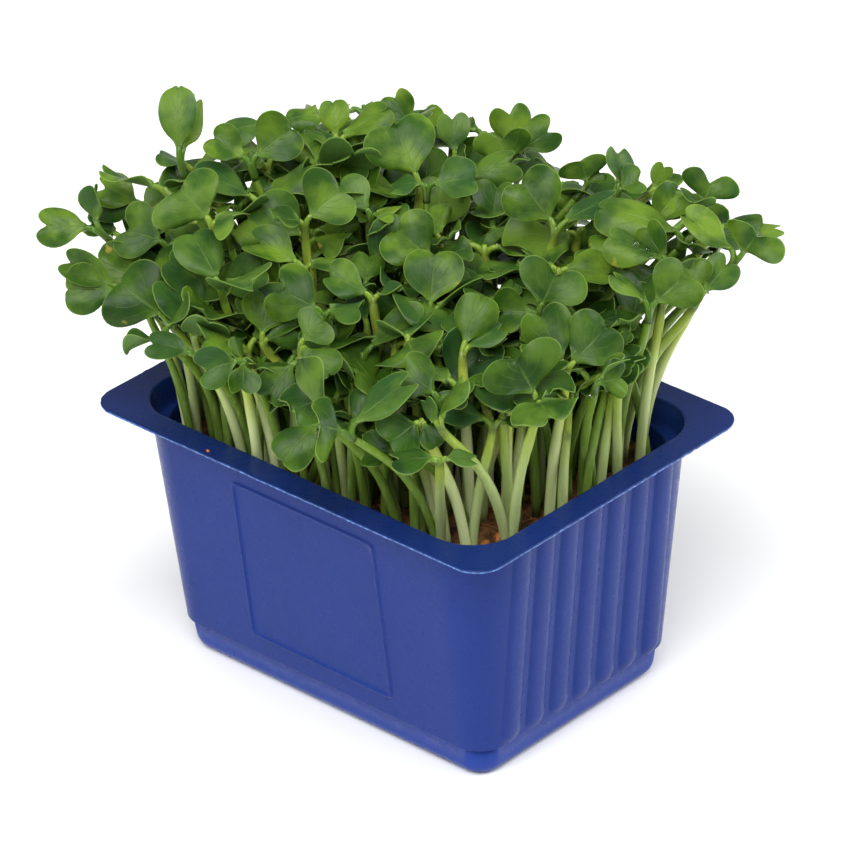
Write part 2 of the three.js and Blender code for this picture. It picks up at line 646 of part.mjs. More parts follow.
function fillSites(sites) {
  const random = seededRandom(FILL_SEED);
  let added = 0;
  for (const site of barestFirst(sites)) {
    for (let attempt = 0; attempt < FILL_TRIES; attempt += 1) {
      const seedling = fillSeedling(site, random);
      const room = site.seedlings.length < SITE_CAPACITY && added < FILL_LIMIT;
      if (room && clashes(seedling, sites) === 0) {
        site.seedlings.push(seedling);
        added += 1;
      }
    }
  }
}

// Seedling bodies

function stemBody(curve) {
  const outline = [];
  for (let side = 0; side < STEM_SIDES; side += 1) {
    const angle = (side / STEM_SIDES) * Math.PI * 2;
    outline.push(new THREE.Vector2(Math.cos(angle), Math.sin(angle)).multiplyScalar(STEM_RADIUS));
  }
  const geometry = new THREE.ExtrudeGeometry(new THREE.Shape(outline), {
    steps: STEM_STEPS,
    bevelEnabled: false,
    extrudePath: curve,
  });
  return bodyOfGeometry(geometry);
}

// Rows of a blade from its stalk to its notched end, left to right
function bladeRows(blade) {
  const stalkRow = ([along, widths]) => {
    const across = widths * (STALK_HALF_WIDTH / (blade.width / 2));
    return [[along, -across], [along, across]];
  };
  const wide = blade.width >= WIDE_BLADE;
  const base = [stalkRow(LEAF_STALK), stalkRow(wide ? WIDE_LEAF_NECK : SMALL_LEAF_NECK)];
  return [...base, ...(wide ? [LEAF_SHOULDERS] : []), LEAF_MIDDLE, LEAF_LOBES];
}

function bridge(lower, upper) {
  if (lower.length === upper.length) {
    const quads = lower.slice(1).map((corner, step) => [
      [lower[step], corner, upper[step + 1]],
      [lower[step], upper[step + 1], upper[step]],
    ]);
    return quads.flat();
  }
  const [a, b] = lower;
  const [p, q, r] = upper;
  return [[a, q, p], [a, b, q], [b, r, q]];
}

function bladeBody(blade) {
  const rows = bladeRows(blade);
  const half = BLADE_THICKNESS / 2;
  const spots = rows.flat().map(([along, across]) => bladePoint(blade, along, across));
  const top = spots.map((spot) => combine([1, spot], [half, blade.normal]).toArray());
  const under = spots.map((spot) => combine([1, spot], [-half, blade.normal]).toArray());
  let next = 0;
  const numbered = rows.map((row) => row.map(() => next++));
  const faces = [];
  for (let level = 0; level + 1 < numbered.length; level += 1) {
    for (const [a, b, c] of bridge(numbered[level], numbered[level + 1])) {
      faces.push([a, b, c], [c + next, b + next, a + next]);
    }
  }
  const right = numbered.slice(1, -1).map((row) => row[row.length - 1]);
  const left = numbered.slice(1, -1).map((row) => row[0]);
  const edge = [...numbered[0], ...right, ...numbered[numbered.length - 1].slice().reverse()];
  edge.push(...left.reverse());
  edge.forEach((corner, step) => {
    const following = edge[(step + 1) % edge.length];
    faces.push([corner + next, following + next, following]);
    faces.push([corner + next, following, corner]);
  });
  return bodyOf([...top, ...under], faces);
}

function seedlingBody(seedling) {
  return seedling.blades.reduce((body, blade) => body.add(bladeBody(blade)), stemBody(seedling.stem));
}

function clumpBodies(sites) {
  const grown = sites.filter((site) => site.seedlings.length > 0);
  return grown.map((site) => site.seedlings.map(seedlingBody).reduce((all, body) => all.add(body)));
}

// Clumps that cross each other are one piece
function fuseCrossing(bodies) {
  const pieces = [];
  for (const body of bodies) {
    const crossing = pieces.filter((piece) => piece.intersect(body).volume() > CROSSING_VOLUME);
    const fused = crossing.reduce((all, piece) => all.add(piece), body);
    crossing.forEach((piece) => pieces.splice(pieces.indexOf(piece), 1));
    pieces.push(fused);
  }
  return pieces;
}

// Growing block

function soilBody(random) {
  const base = [floorRing(SOIL_GAP), innerRing(PLINTH_HEIGHT, SOIL_GAP)];
  const top = SOIL_RINGS.map(([inset, drop]) => {
    const shrink = 1 - inset / wallHalfWidth;
    return innerRing(SOIL_LEVEL - drop, SOIL_GAP).map(([x, y, z]) => {
      const relief = between(random, -SOIL_RELIEF, SOIL_RELIEF);
      return [x * shrink, y * shrink, z + relief];
    });
  });
  return skin([...base, ...top]);
}

function holeBody(site) {
  const ring = (height) => {
    const points = [];
    for (let side = 0; side < HOLE_SIDES; side += 1) {
      const angle = (side / HOLE_SIDES) * Math.PI * 2;
      points.push([
        site.x + HOLE_RADIUS * Math.cos(angle),
        site.y + HOLE_RADIUS * Math.sin(angle),
        height,
      ]);
    }
    return points;
  };
  return skin([ring(SOIL_LEVEL - HOLE_DEPTH), ring(SOIL_LEVEL + HOLE_OVERSHOOT)]);
}

// Hulls lie between the root places, half sunk in the block
function hullBody(random) {
  const column = Math.floor(random() * (SITE_COLUMNS - 1)) - (SITE_COLUMNS - 2) / 2;
  const row = Math.floor(random() * (SITE_ROWS - 1)) - (SITE_ROWS - 2) / 2;
  const geometry = new THREE.IcosahedronGeometry(1, 0);
  geometry.scale(HULL_LENGTH, HULL_WIDTH, HULL_HEIGHT);
  geometry.rotateZ(between(random, 0, Math.PI));
  geometry.translate(column * SITE_PITCH_X, row * SITE_PITCH_Y, SOIL_LEVEL + HULL_RAISE);
  return bodyOfGeometry(geometry);
}

function growingBlock(sites) {
  const random = seededRandom(SOIL_SEED);
  let body = soilBody(random);
  for (let index = 0; index < HULL_COUNT; index += 1) {
    body = body.add(hullBody(random));
  }
  for (const site of sites.filter((place) => place.seedlings.length > 0)) {
    body = body.subtract(holeBody(site));
  }
  return body;
}

// Whole part

const bluePlastic = new THREE.MeshStandardMaterial({ color: 0x2f4396, roughness: 0.4, metalness: 0 });
const brownSoil = new THREE.MeshStandardMaterial({ color: 0x4a3320, roughness: 0.95, metalness: 0 });
const greenLeaf = new THREE.MeshStandardMaterial({ color: 0x5f8a35, roughness: 0.55, metalness: 0 });

const sites = rootSites();
SEEN.forEach((entry) => seatSeen(entry, sites));
fillSites(sites);

const group = new THREE.Group();
group.name = "cress_punnet";
group.add(meshOf("punnet", punnet(), bluePlastic));
group.add(meshOf("growing_block", growingBlock(sites), brownSoil));
fuseCrossing(clumpBodies(sites)).forEach((body, index) => {
  const number = String(index + 1).padStart(2, "0");
  group.add(meshOf(`seedlings_${number}`, body, greenLeaf));
});

export default group;
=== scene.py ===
"""Looks of a punnet of green cress: ribbed blue tray, growing block, seedlings, studio.

Lengths are millimetres until a mesh or an object is made, and MM turns them into metres.
"""

import math

import bpy
import numpy as np
from mathutils import Matrix, Vector, noise
from mathutils.bvhtree import BVHTree
from mathutils.kdtree import KDTree


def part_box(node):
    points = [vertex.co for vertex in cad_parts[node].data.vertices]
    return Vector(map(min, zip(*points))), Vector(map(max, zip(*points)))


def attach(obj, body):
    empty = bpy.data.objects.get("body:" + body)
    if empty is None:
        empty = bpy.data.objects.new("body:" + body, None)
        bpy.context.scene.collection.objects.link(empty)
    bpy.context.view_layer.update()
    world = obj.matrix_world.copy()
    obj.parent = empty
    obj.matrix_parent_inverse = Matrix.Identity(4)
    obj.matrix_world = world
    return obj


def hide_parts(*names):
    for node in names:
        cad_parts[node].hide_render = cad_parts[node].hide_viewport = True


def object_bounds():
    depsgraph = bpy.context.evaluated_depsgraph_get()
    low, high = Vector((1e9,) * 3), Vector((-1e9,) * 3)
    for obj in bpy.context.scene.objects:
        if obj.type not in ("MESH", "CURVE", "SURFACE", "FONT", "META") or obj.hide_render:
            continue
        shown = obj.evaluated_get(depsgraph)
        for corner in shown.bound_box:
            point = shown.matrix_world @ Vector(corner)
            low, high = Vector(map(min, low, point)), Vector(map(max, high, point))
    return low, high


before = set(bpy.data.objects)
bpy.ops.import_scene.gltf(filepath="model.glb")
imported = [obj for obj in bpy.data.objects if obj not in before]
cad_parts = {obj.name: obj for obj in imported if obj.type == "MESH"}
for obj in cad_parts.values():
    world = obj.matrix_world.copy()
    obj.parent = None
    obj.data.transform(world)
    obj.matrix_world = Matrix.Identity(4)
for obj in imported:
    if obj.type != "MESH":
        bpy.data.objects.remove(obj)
cad_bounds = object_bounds()

MM = 0.001
tray_low, tray_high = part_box("punnet")

# Tray: the wall leans in from the mouth to the foot, and every inset is measured from its top
RIM_LENGTH = (tray_high.x - tray_low.x) / MM
RIM_WIDTH = (tray_high.y - tray_low.y) / MM
TRAY_HEIGHT = tray_high.z / MM
RIM_CORNER_RADIUS = 5.8
RIM_THICKNESS = 0.6
RIM_EDGE_ROUND = 0.12
RIM_FILLET = 0.4
RIM_FILLET_RINGS = ((0.12, 0.12), (0.45, 0))
RIM_NICK = 0.16
RIM_NICK_SCALES = (0.9, 2.3)
RIM_NICK_LIMIT = 0.6
RIM_UNDERSIDE = 1.2
RIM_TOP_EDGE = 1.4
SHELF = 4.9
WALL_DRAFT = 5.5
WALL_CORNER_TOP = 10.8
WALL_CORNER_FOOT = 5.6
PLINTH_HEIGHT = 6.5
PLINTH_LIP = 0.1
PLINTH_INSET = 1.1
PLINTH_CORNER = 4.7
PLINTH_EDGE_RADIUS = 2.5
PLINTH_WALL = 1
PLINTH_EDGE_STEPS = 7
WALL_LIP = ((0.9, 0), (0.3, 0.08), (0.08, 0.25))
WALL_FOOT_RISES = (0.4, 0.5, 0.65, 0.9, 1.3, 1.8, 2.4, 3.1, 3.9)
FLOOR_THICKNESS = 1.4
FLOOR_WALL = 2
MOUTH_CORNER = 9.9
MOUTH_ROUNDING = 0.5
COLLAR_INSET = 1.35
COLLAR_SHARES = (0.35, 0.7, 0.95)
LEDGE_INSET = 1.65
LEDGE_CORNER = 13.6
LEDGE_HEIGHT = 48.5
LEDGE_FALL = 0.3
LEDGE_RINGS = ((0.3, 0), (0.85, 0.05), (1, LEDGE_FALL))
INNER_HEIGHTS = (47.6, 46, 44, 30, PLINTH_HEIGHT)
WALL_LENGTH = RIM_LENGTH / 2 - SHELF
WALL_WIDTH = RIM_WIDTH / 2 - SHELF

# Ribs of the short sides, with round feet over the plinth
RIB_COUNT = 7
RIB_PITCH = 6.5
RIB_WIDTH = 5.3
RIB_BULGE = 0.68
RIB_FOOT_RISE = 0.35
RIB_ROUNDING = 2.6
RIB_ACROSS = (0, 0.25, 0.5, 0.68, 0.82, 0.92, 1, 1.05)

# Framed panel of the long sides
BEAD_ROUNDING = 1.5
PANEL_WIDTH = 36
PANEL_FOOT = 10.9
PANEL_TOP = 46.3
BEAD_WIDTH = 1
BEAD_RAISE = 0.45
BEAD_CORNER = 1.2

# Columns of the tray's rings, and the place of a column that isn't on a side
SHORT_SIDE_END = 22.4
LONG_SIDE_END = 32
LONG_SIDE_STEPS = 41
CORNER_STEPS = 12
CORNER_SHARES = (0.013, 0.987)
BEAD_STEPS = 11
BEAD_REACH = (-0.2, 1.2)
PANEL_STEPS = 12
TOP_STEPS = 5
FAR_OFF = 1000

# Growing block
SOIL_LEVEL = 44
SOIL_SINK = 0.4
SOIL_GAP = 0.35
SOIL_RINGS = 34
SOIL_MIDDLE = 0.02
SOIL_LUMPS = ((0.7, 0.16), (0.45, 0.7))
LOOSE_INSET = 7
FIBRE_COUNT = 260
FIBRE_STEPS = 6
FIBRE_LENGTH = (2, 6)
FIBRE_BEND = 0.5
FIBRE_LIFT = 0.25
FIBRE_RADIUS = (0.07, 0.16)
HULL_COUNT = 100
HULL_COLUMNS = 12
HULL_ROWS = 8
HULL_OPENING = (0.12, 1.9)
HULL_INSIDE = 0.86
HULL_CRUMPLE = 0.16
HULL_CRUMPLE_SCALE = 1.4
HULL_STRETCH = ((1.2, 1.5), (0.9, 1.1), (0.8, 1))
HULL_SPIN = 6.28
HULL_TILT = 2.4
HULL_LIFT = 0.5
SEEN_HULL_LIFT = 0.6

# Root places: a jittered grid, drawn in a little at the corners
SITE_COLUMNS = 9
SITE_ROWS = 6
SITE_PITCH_X = 9
SITE_PITCH_Y = 9.6
SITE_JITTER = 1.1
SITE_CORNER_PULL = 0.88
SITE_CAPACITY = 2
SITE_CHOICES = 3
ROOT_DEPTH = 6
ROOT_SPREAD = 1
ROOT_PULL = 0.74

# Stem curve
STEM_KNEE = 0.68
STEM_NECK = 0.25
STEM_BEND = 2.6

# Leaves, as in the solids
BLADE_FOLD = 0.2
BLADE_DROOP = 0.08
PARTNER_LENGTH = 0.75
PARTNER_WIDTH = 0.8
PARTNER_RISE = 0.5

# The leaves' heads lie near a plane that rises away from the eye
CANOPY_HEIGHT = 86
CANOPY_SLOPE = 0.3

# Seating: distance kept between neighbours, the spots along and across a leaf where it is
# measured, and the pushes along the sight line that are tried
CLEARANCE = 2.3
STEM_SAMPLES = 12
LEAF_SPOTS = (
    (0.3, 0.55, 0.55, 0.6, 0.85, 0.85, 0.85, 0.85, 1.08, 1.08),
    (0, -0.6, 0.6, 0, -0.9, -0.3, 0.3, 0.9, -0.6, 0.6),
)
PUSHES = (0, 1.5, 3, -1.5, 4.5, 6, 7.5, -3)

# Fill: lower seedlings where there is still room
FILL_TRIES = 40
FILL_LIMIT = 9
FILL_SPREAD = 1.15
FILL_WANDER = 2.5
FILL_DROP = (2, 14)
FILL_LEAF_RISE = (0.1, 0.6)
FILL_LEAF_LENGTH = (9, 12)
FILL_LEAF_WIDTH = (7, 9.5)

# Seeds of the random draws
SITE_SEED = 7
FILL_SEED = 23
FORM_SEED = 5
SOIL_SEED = 41

# Sighting frame: the direction from which the seedlings were read
PHOTO_LONG_SIDE = 855
AZIMUTH = math.radians(43.27)
ELEVATION = math.radians(30.2)
ROLL = math.radians(-1.96)
DISTANCE = 1090
FOCAL = 5911
SIGHT_CENTRE = (427, 427.5)
TARGET = np.array([2.74, 0, 50.85])
SENSOR = 36

UP = np.array([0, 0, 1.0])
AHEAD = np.array([-math.sin(AZIMUTH), math.cos(AZIMUTH), 0])
LEVEL_RIGHT = np.array([math.cos(AZIMUTH), math.sin(AZIMUTH), 0])
BACK = -math.cos(ELEVATION) * AHEAD + math.sin(ELEVATION) * UP
LEVEL_UP = np.cross(BACK, LEVEL_RIGHT)
SIGHT_RIGHT = math.cos(ROLL) * LEVEL_RIGHT + math.sin(ROLL) * LEVEL_UP
SIGHT_UP = -math.sin(ROLL) * LEVEL_RIGHT + math.cos(ROLL) * LEVEL_UP
EYE = TARGET + DISTANCE * BACK


def seen(head, push, mouth, *leaves):
    return {"head": head, "push": push, "mouth": mouth, "leaves": leaves}


def leaf(across, down, lean, width, face_eye, face_right, notch=None, slim=1):
    return (across, down), lean, width, face_eye, face_right, notch, slim


# Seedlings that can be told apart, nearest first. One has the place of its head on the sighting
# plane, how far it is pushed back (mm), where its stem passes the tray's mouth (or None), and
# its leaves. A leaf has the place of its notch, how far it leans to the eye (degrees), its
# width (mm), how much it faces the eye rather than the sky, how much it faces right and, where
# it stands out, how deep its notch is and the share of the width that it fills.
SEEN = (
    seen(
        (344, 432), 0, (440, 520),
        leaf(322, 425, 35, 12, 0.6, -0.5, 0.5), leaf(402, 382, 0, 7.5, 0.4, -0.4),
    ),
    seen(
        (322, 420), 2, (392, 510),
        leaf(304, 367, 10, 7, 0.7, -1, 0.1), leaf(287, 451, 20, 7.5, 0.8, -0.3, 0.2),
    ),
    seen((421, 419), -1, (450, 520), leaf(393, 440, 15, 9.5, 1, 0), leaf(437, 441, 10, 4.5, 0.8, 0.6)),
    seen((440, 459), -3, (470, 545), leaf(397, 458, 5, 7, 0.2, 0)),
    seen((398, 452), 3, (418, 520), leaf(366, 450, 0, 7, 0.6, 0)),
    seen((438, 425), -4, (517, 545), leaf(456, 382, 10, 6, 0.2, -1.2), leaf(424, 404, 10, 4, 0.5, -1)),
    seen((538, 400), -4, (549, 520), leaf(515, 358, 5, 14.5, 1, 0, 1.3), leaf(546, 412, 72, 12, -1, -0.4)),
    seen((494, 421), -1, (532, 535), leaf(442, 405, 5, 6.5, 0.5, 0)),
    seen((596, 383), -2, (588, 480), leaf(620, 357, 0, 7, -0.6, -1), leaf(621, 378, 15, 7, 1, 0.3)),
    seen((566, 370), 0, (575, 495), leaf(603, 330, 5, 10.5, 0.8, 0.1, 0.6), leaf(541, 317, 0, 9, 0.9, -0.1)),
    seen((243, 359), 1, (262, 450), leaf(204, 370, 10, 7.5, 1, 0), leaf(243, 389, 15, 6, 1, 0.4)),
    seen((300, 343), -3, None, leaf(326, 370, 25, 8, 0.9, 0.2, 0.3), leaf(320, 322, 10, 8, 0.6, 0, 0.5)),
    seen((297, 358), 2, None, leaf(270, 394, 10, 6.5, 1, -0.2)),
    seen((408, 338), 0, None, leaf(413, 353, 58, 13, 0.2, -0.5)),
    seen((440, 398), 4, None, leaf(404, 368, 0, 9, 0.8, 0)),
    seen((462, 351), -1, (470, 500), leaf(478, 303, 0, 7.5, 0.9, -0.1), leaf(497, 328, 0, 5.5, 0.5, -0.7)),
    seen((350, 425), 4, None, leaf(372, 398, 0, 7, 0.8, 0)),
    seen((163, 334), 7, (192, 430), leaf(128, 346, 0, 8, -0.85, 0), leaf(185, 297, 0, 8, -0.7, -1)),
    seen((168, 320), 6, None, leaf(125, 287, 5, 13.5, 1, -0.1)),
    seen((196, 354), 10, (212, 440), leaf(154, 341, 0, 6, 0.5, 0)),
    seen((324, 312), -1, None, leaf(279, 288, 5, 10.5, 0.9, 0)),
    seen((261, 341), 2, None, leaf(268, 298, 0, 8.5, 1, 0), leaf(294, 330, 5, 6, 1, 0.2)),
    seen((362, 352), 1, None, leaf(418, 317, 0, 8, 0.2, -0.4)),
    seen((538, 311), 0, None, leaf(557, 272, 15, 12.5, 0.9, 0.1), leaf(499, 312, 5, 8, 0.8, 0)),
    seen((430, 313), 1, None, leaf(434, 258, 0, 10.5, 0.9, 0), leaf(474, 278, 0, 6, -0.8, -1)),
    seen((650, 307), -3, (650, 435), leaf(684, 276, 5, 10, 0.8, 0.2), leaf(622, 273, 0, 8, 0.2, 1.2)),
    seen((700, 297), 1, (664, 425), leaf(690, 266, 0, 7.5, 0.9, 0), leaf(727, 264, 0, 6.5, 0.9, 0.2)),
    seen(
        (741, 256), -11, (658, 440),
        leaf(756, 235, 30, 11.5, 1, 0, 1.6), leaf(690, 218, 0, 6.5, 0.35, 0.2),
    ),
    seen((373, 297), 0, None, leaf(333, 275, 5, 7.5, 0.5, 0), leaf(399, 288, 0, 6, -0.5, 0)),
    seen((367, 324), 2, None, leaf(358, 297, 0, 6, 0.9, -0.5)),
    seen((160, 292), 8, None, leaf(104, 262, 0, 9.5, 0.8, -0.2)),
    seen((124, 290), 6, None, leaf(74, 288, 5, 9, 0.8, -0.4), leaf(70, 262, 0, 6, 0.6, -0.5)),
    seen((436, 263), 1, None, leaf(399, 231, 5, 11.5, 0.65, -0.1)),
    seen((304, 266), 0, None, leaf(257, 238, 5, 7.5, 0.3, -0.3)),
    seen((558, 268), 1, None, leaf(603, 271, 5, 7, 0.5, 0), leaf(523, 259, 0, 7, -0.8, 0)),
    seen((580, 228), -1, None, leaf(523, 251, 20, 14.5, 0.15, 0), leaf(604, 233, 10, 6, 0.8, 0.2)),
    seen((630, 285), 1, None, leaf(591, 248, 0, 8, 0.7, 0)),
    seen((668, 262), -2, None, leaf(645, 231, 0, 7, 0.5, -0.9), leaf(616, 238, 0, 7.5, 0.5, 0.3)),
    seen((168, 244), 0, None, leaf(126, 228, 5, 10.5, 0.8, -0.1)),
    seen((212, 223), -2, None, leaf(184, 191, 10, 14.5, 0.7, 0)),
    seen((226, 232), 2, None, leaf(254, 233, 0, 6, 0.5, 0)),
    seen((97, 228), 1, None, leaf(43, 224, 0, 7.5, 0.75, -0.3), leaf(92, 190, 0, 6, 0.4, -0.9)),
    seen((309, 240), 2, None, leaf(264, 208, 0, 9.5, 0.7, -0.2)),
    seen((311, 229), 4, None, leaf(353, 232, 0, 5.5, 0.4, 0)),
    seen((304, 222), 0, None, leaf(338, 192, 5, 11.5, 0.85, 0, 0.9)),
    seen((440, 240), 5, None, leaf(427, 213, 0, 10, 0.3, 0)),
    seen((690, 236), -5, None, leaf(614, 206, 0, 8.5, 0.45, 0, 0.1)),
    seen((556, 227), 1, None, leaf(523, 184, 5, 11.5, 0.8, 0), leaf(609, 195, 0, 7, 0.1, 0.3)),
    seen((492, 226), 3, None, leaf(497, 187, 5, 8, 0.9, 0), leaf(500, 238, 30, 6, 0.5, 0)),
    seen((372, 215), 4, None, leaf(344, 185, 0, 7, 0.6, 0.2)),
    seen((714, 228), -6, None, leaf(757, 222, 0, 7.5, 0.4, 0), leaf(777, 223, -10, 5, 0.15, 0)),
    seen((146, 206), 2, None, leaf(103, 184, 0, 7, 0.35, -0.3), leaf(99, 205, -10, 5.5, 0.6, -0.5)),
    seen((262, 202), 1, None, leaf(302, 163, 5, 8, 0.2, -0.8), leaf(204, 170, 0, 7.5, 0.1, 0)),
    seen((702, 206), -10, None, leaf(713, 176, 10, 10.5, 1, 0.1, 2.6)),
    seen((426, 184), 1, None, leaf(470, 178, 5, 8.5, 0.6, 0)),
    seen((420, 184), -1, None, leaf(396, 129, 0, 13, 1, 0, 0.8)),
    seen((462, 180), 1, None, leaf(509, 160, 5, 6.5, 0.6, -0.1)),
    seen((650, 225), 0, None, leaf(676, 194, 0, 7, 1, 0.2), leaf(698, 200, 0, 4, 0.3, 0)),
    seen((652, 192), -5, None, leaf(699, 190, 0, 6, -0.5, 0), leaf(664, 168, 0, 4, 0.3, 0.6)),
    seen((164, 188), 3, None, leaf(108, 173, 0, 8, -0.8, 0)),
    seen((250, 161), 1, None, leaf(287, 131, 5, 9.5, 0.85, 0), leaf(215, 138, 0, 7, 0.6, -0.2)),
    seen((588, 184), 4, None, leaf(581, 162, 20, 9, 1, 0), leaf(600, 172, 0, 4, 0.3, 0.5)),
    seen((618, 190), -1, None, leaf(622, 153, 0, 6.5, 0.6, 0.8), leaf(640, 180, 10, 7, 0.4, 0.3)),
    seen((192, 168), 6, None, leaf(163, 154, 0, 8, -0.5, 0), leaf(228, 150, 0, 8, -0.3, 0)),
    seen((506, 168), 3, None, leaf(501, 135, 10, 10.5, 1, 0, 1.9)),
    seen((455, 158), 5, None, leaf(452, 119, 5, 6, 0.8, 0), leaf(464, 152, 20, 6, 0.2, 0.3)),
    seen(
        (179, 160), 1, None,
        leaf(177, 100, 8, 8.5, 1, -0.1, -0.1, 0.8), leaf(201, 105, -12, 5, -0.2, 1.5),
    ),
    seen((336, 142), 4, None, leaf(333, 106, 5, 5.5, 0.9, 0), leaf(381, 110, 0, 6.5, 0.3, 0)),
    seen((518, 152), 5, None, leaf(509, 112, 10, 7.5, 0.9, 0), leaf(551, 130, 5, 7, 0.9, 0.2)),
    seen((412, 128), 6, None, leaf(394, 98, 5, 6.5, 0.8, -0.3), leaf(352, 122, 0, 6, 0.4, 0)),
    seen((275, 125), 7, None, leaf(230, 127, 0, 7, 0.3, 0), leaf(312, 112, 0, 6, 0.4, 0)),
)


# Small helpers


def unit(vector):
    return vector / np.linalg.norm(vector)


def seeded_random(seed):
    """A draw from 0 to 1, the same on every run."""
    state = seed

    def draw():
        nonlocal state
        state = (state * 1664525 + 1013904223) % 4294967296
        return state / 4294967296

    return draw


def between(random, low, high):
    return low + (high - low) * random()


def mix(low, high, share):
    return low + (high - low) * share


# Pieces: points, faces and marks, made into a mesh at the end


def marks_of(shape, *values):
    """The marks of a row or a grid of points. Those not given are 0."""
    marks = np.zeros((*shape, 4))
    for kind, value in enumerate(values):
        marks[..., kind] = value
    return marks


class Piece:
    """Sheets and tubes of one object. A point's marks are four numbers for the materials."""

    def __init__(self, *materials):
        self.materials = materials
        self.points = []
        self.marks = []
        self.faces = []
        self.slots = []
        self.count = 0

    def sheet(self, points, marks, slot=0, wrap=False, turned=False):
        """A grid of points joined by quads. wrap joins the last column to the first."""
        rows, columns = points.shape[:2]
        index = self.count + np.arange(rows * columns).reshape(rows, columns)
        self.points.append(points.reshape(-1, 3))
        self.marks.append(np.broadcast_to(marks, (rows, columns, 4)).reshape(-1, 4))
        self.count += rows * columns
        self.bridge(np.hstack([index, index[:, :1]]) if wrap else index, slot, turned)
        return index

    def bridge(self, index, slot=0, turned=False):
        """Quads over a grid of known points."""
        corners = [index[:-1, :-1], index[:-1, 1:], index[1:, 1:], index[1:, :-1]]
        quads = np.stack(corners[::-1] if turned else corners, -1).reshape(-1, 4)
        self.faces.extend(quads.tolist())
        self.slots.extend([slot] * len(quads))

    def closed(self, points, marks, slot=0, turned=False):
        """A sheet wrapped round, with a face over its first row and its last row."""
        index = self.sheet(points, marks, slot, True, turned)
        order = 1 if turned else -1
        for ring in (index[0][::order], index[-1][::-order]):
            self.faces.append(ring.tolist())
            self.slots.append(slot)

    def object(self, name):
        """The finished object, riding on the part's one body."""
        mesh = bpy.data.meshes.new(name)
        mesh.from_pydata((np.concatenate(self.points) * MM).tolist(), [], self.faces)
        for material in self.materials:
            mesh.materials.append(material)
        mesh.polygons.foreach_set("material_index", self.slots)
        marks = mesh.attributes.new("marks", "FLOAT_COLOR", "POINT")
        marks.data.foreach_set("color", np.concatenate(self.marks).astype(np.float32).ravel())
        mesh.shade_smooth()
        mesh.update()
        made = bpy.data.objects.new(name, mesh)
        bpy.context.scene.collection.objects.link(made)
        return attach(made, "root")


def tube(piece, centres, radii, marks, sides=10, slot=0):
    """A round tube through the centres, capped at both ends. marks is one row per centre."""
    tangents = np.gradient(centres, axis=0)
    tangents /= np.linalg.norm(tangents, axis=1, keepdims=True)
    start = np.cross(tangents[0], LEVEL_RIGHT if abs(tangents[0] @ UP) > 0.5 else UP)
    normals = [unit(start)]
    for tangent in tangents[1:]:
        normals.append(unit(normals[-1] - tangent * (tangent @ normals[-1])))
    normals = np.array(normals)
    others = np.cross(tangents, normals)
    angles = np.arange(sides) / sides * 2 * math.pi
    ring = np.cos(angles)[:, None] * normals[:, None] + np.sin(angles)[:, None] * others[:, None]
    points = centres[:, None] + ring * np.asarray(radii)[:, None, None]
    spread = np.repeat(marks[:, None], sides, axis=1)
    spread[:, :, 0] = np.abs(np.linspace(-1, 1, sides))
    piece.closed(points, spread, slot)


def bezier(corners, shares):
    """Points of a cubic curve."""
    a, b, c, d = corners
    t = np.asarray(shares, float)[:, None]
    return (1 - t) ** 3 * a + 3 * (1 - t) ** 2 * t * b + 3 * (1 - t) * t**2 * c + t**3 * d


# Tray


def side_columns():
    """Places of the rings' columns along a short side and along a long side."""
    half_rib = RIB_WIDTH / 2 * np.array(RIB_ACROSS)
    middles = RIB_PITCH * (np.arange(RIB_COUNT) - RIB_COUNT // 2)
    across = middles[:, None] + np.concatenate([-half_rib[:0:-1], half_rib])
    short = np.concatenate([[-SHORT_SIDE_END], across.ravel(), [SHORT_SIDE_END]])
    bead = PANEL_WIDTH / 2 - BEAD_WIDTH * np.linspace(*BEAD_REACH, BEAD_STEPS)
    even = np.linspace(-LONG_SIDE_END, LONG_SIDE_END, LONG_SIDE_STEPS)
    even = even[np.abs(np.abs(even) - PANEL_WIDTH / 2 + BEAD_WIDTH / 2) > BEAD_WIDTH]
    return short, np.sort(np.concatenate([even, bead, -bead]))


SHORT_COLUMNS, LONG_COLUMNS = side_columns()


def side_points(places, reach, half, radius):
    """Points and normals of a side and the part of its corners that its columns reach."""
    over = np.maximum(np.abs(places) - reach, 0)
    depth = np.sqrt(np.maximum(radius**2 - over**2, 0))
    points = np.stack([half - radius + depth, places], 1)
    normals = np.stack([depth / radius, np.sign(places) * over / radius], 1)
    return points, normals


def ring(half_length, half_width, radius, height):
    """A rounded rectangle, counter-clockwise, and its outward normals."""
    reach_x = half_length - radius
    reach_y = half_width - radius
    first = math.asin(min(max((SHORT_SIDE_END - reach_y) / radius, 0), 1))
    last = math.pi / 2 - math.asin(min(max((LONG_SIDE_END - reach_x) / radius, 0), 1))
    angles = mix(first, last, np.linspace(*CORNER_SHARES, CORNER_STEPS))
    turn = np.stack([np.cos(angles), np.sin(angles)], 1)
    corner = (np.array([reach_x, reach_y]) + radius * turn, turn)
    end = side_points(SHORT_COLUMNS, reach_y, half_length, radius)
    side = side_points(LONG_COLUMNS, reach_x, half_width, radius)
    side = [part[:, ::-1] for part in side]

    def flipped(parts, x, y):
        return [part * np.array([x, y]) for part in parts]

    def turned(parts):
        return [part[::-1] for part in parts]

    walk = [
        end, corner, turned(side), turned(flipped(corner, -1, 1)),
        turned(flipped(end, -1, 1)), flipped(corner, -1, -1),
        flipped(side, 1, -1), turned(flipped(corner, 1, -1)),
    ]
    points, normals = (np.concatenate([parts[kind] for parts in walk]) for kind in (0, 1))
    flat = np.zeros((len(points), 1))
    return np.hstack([points, flat + height]), np.hstack([normals, flat])


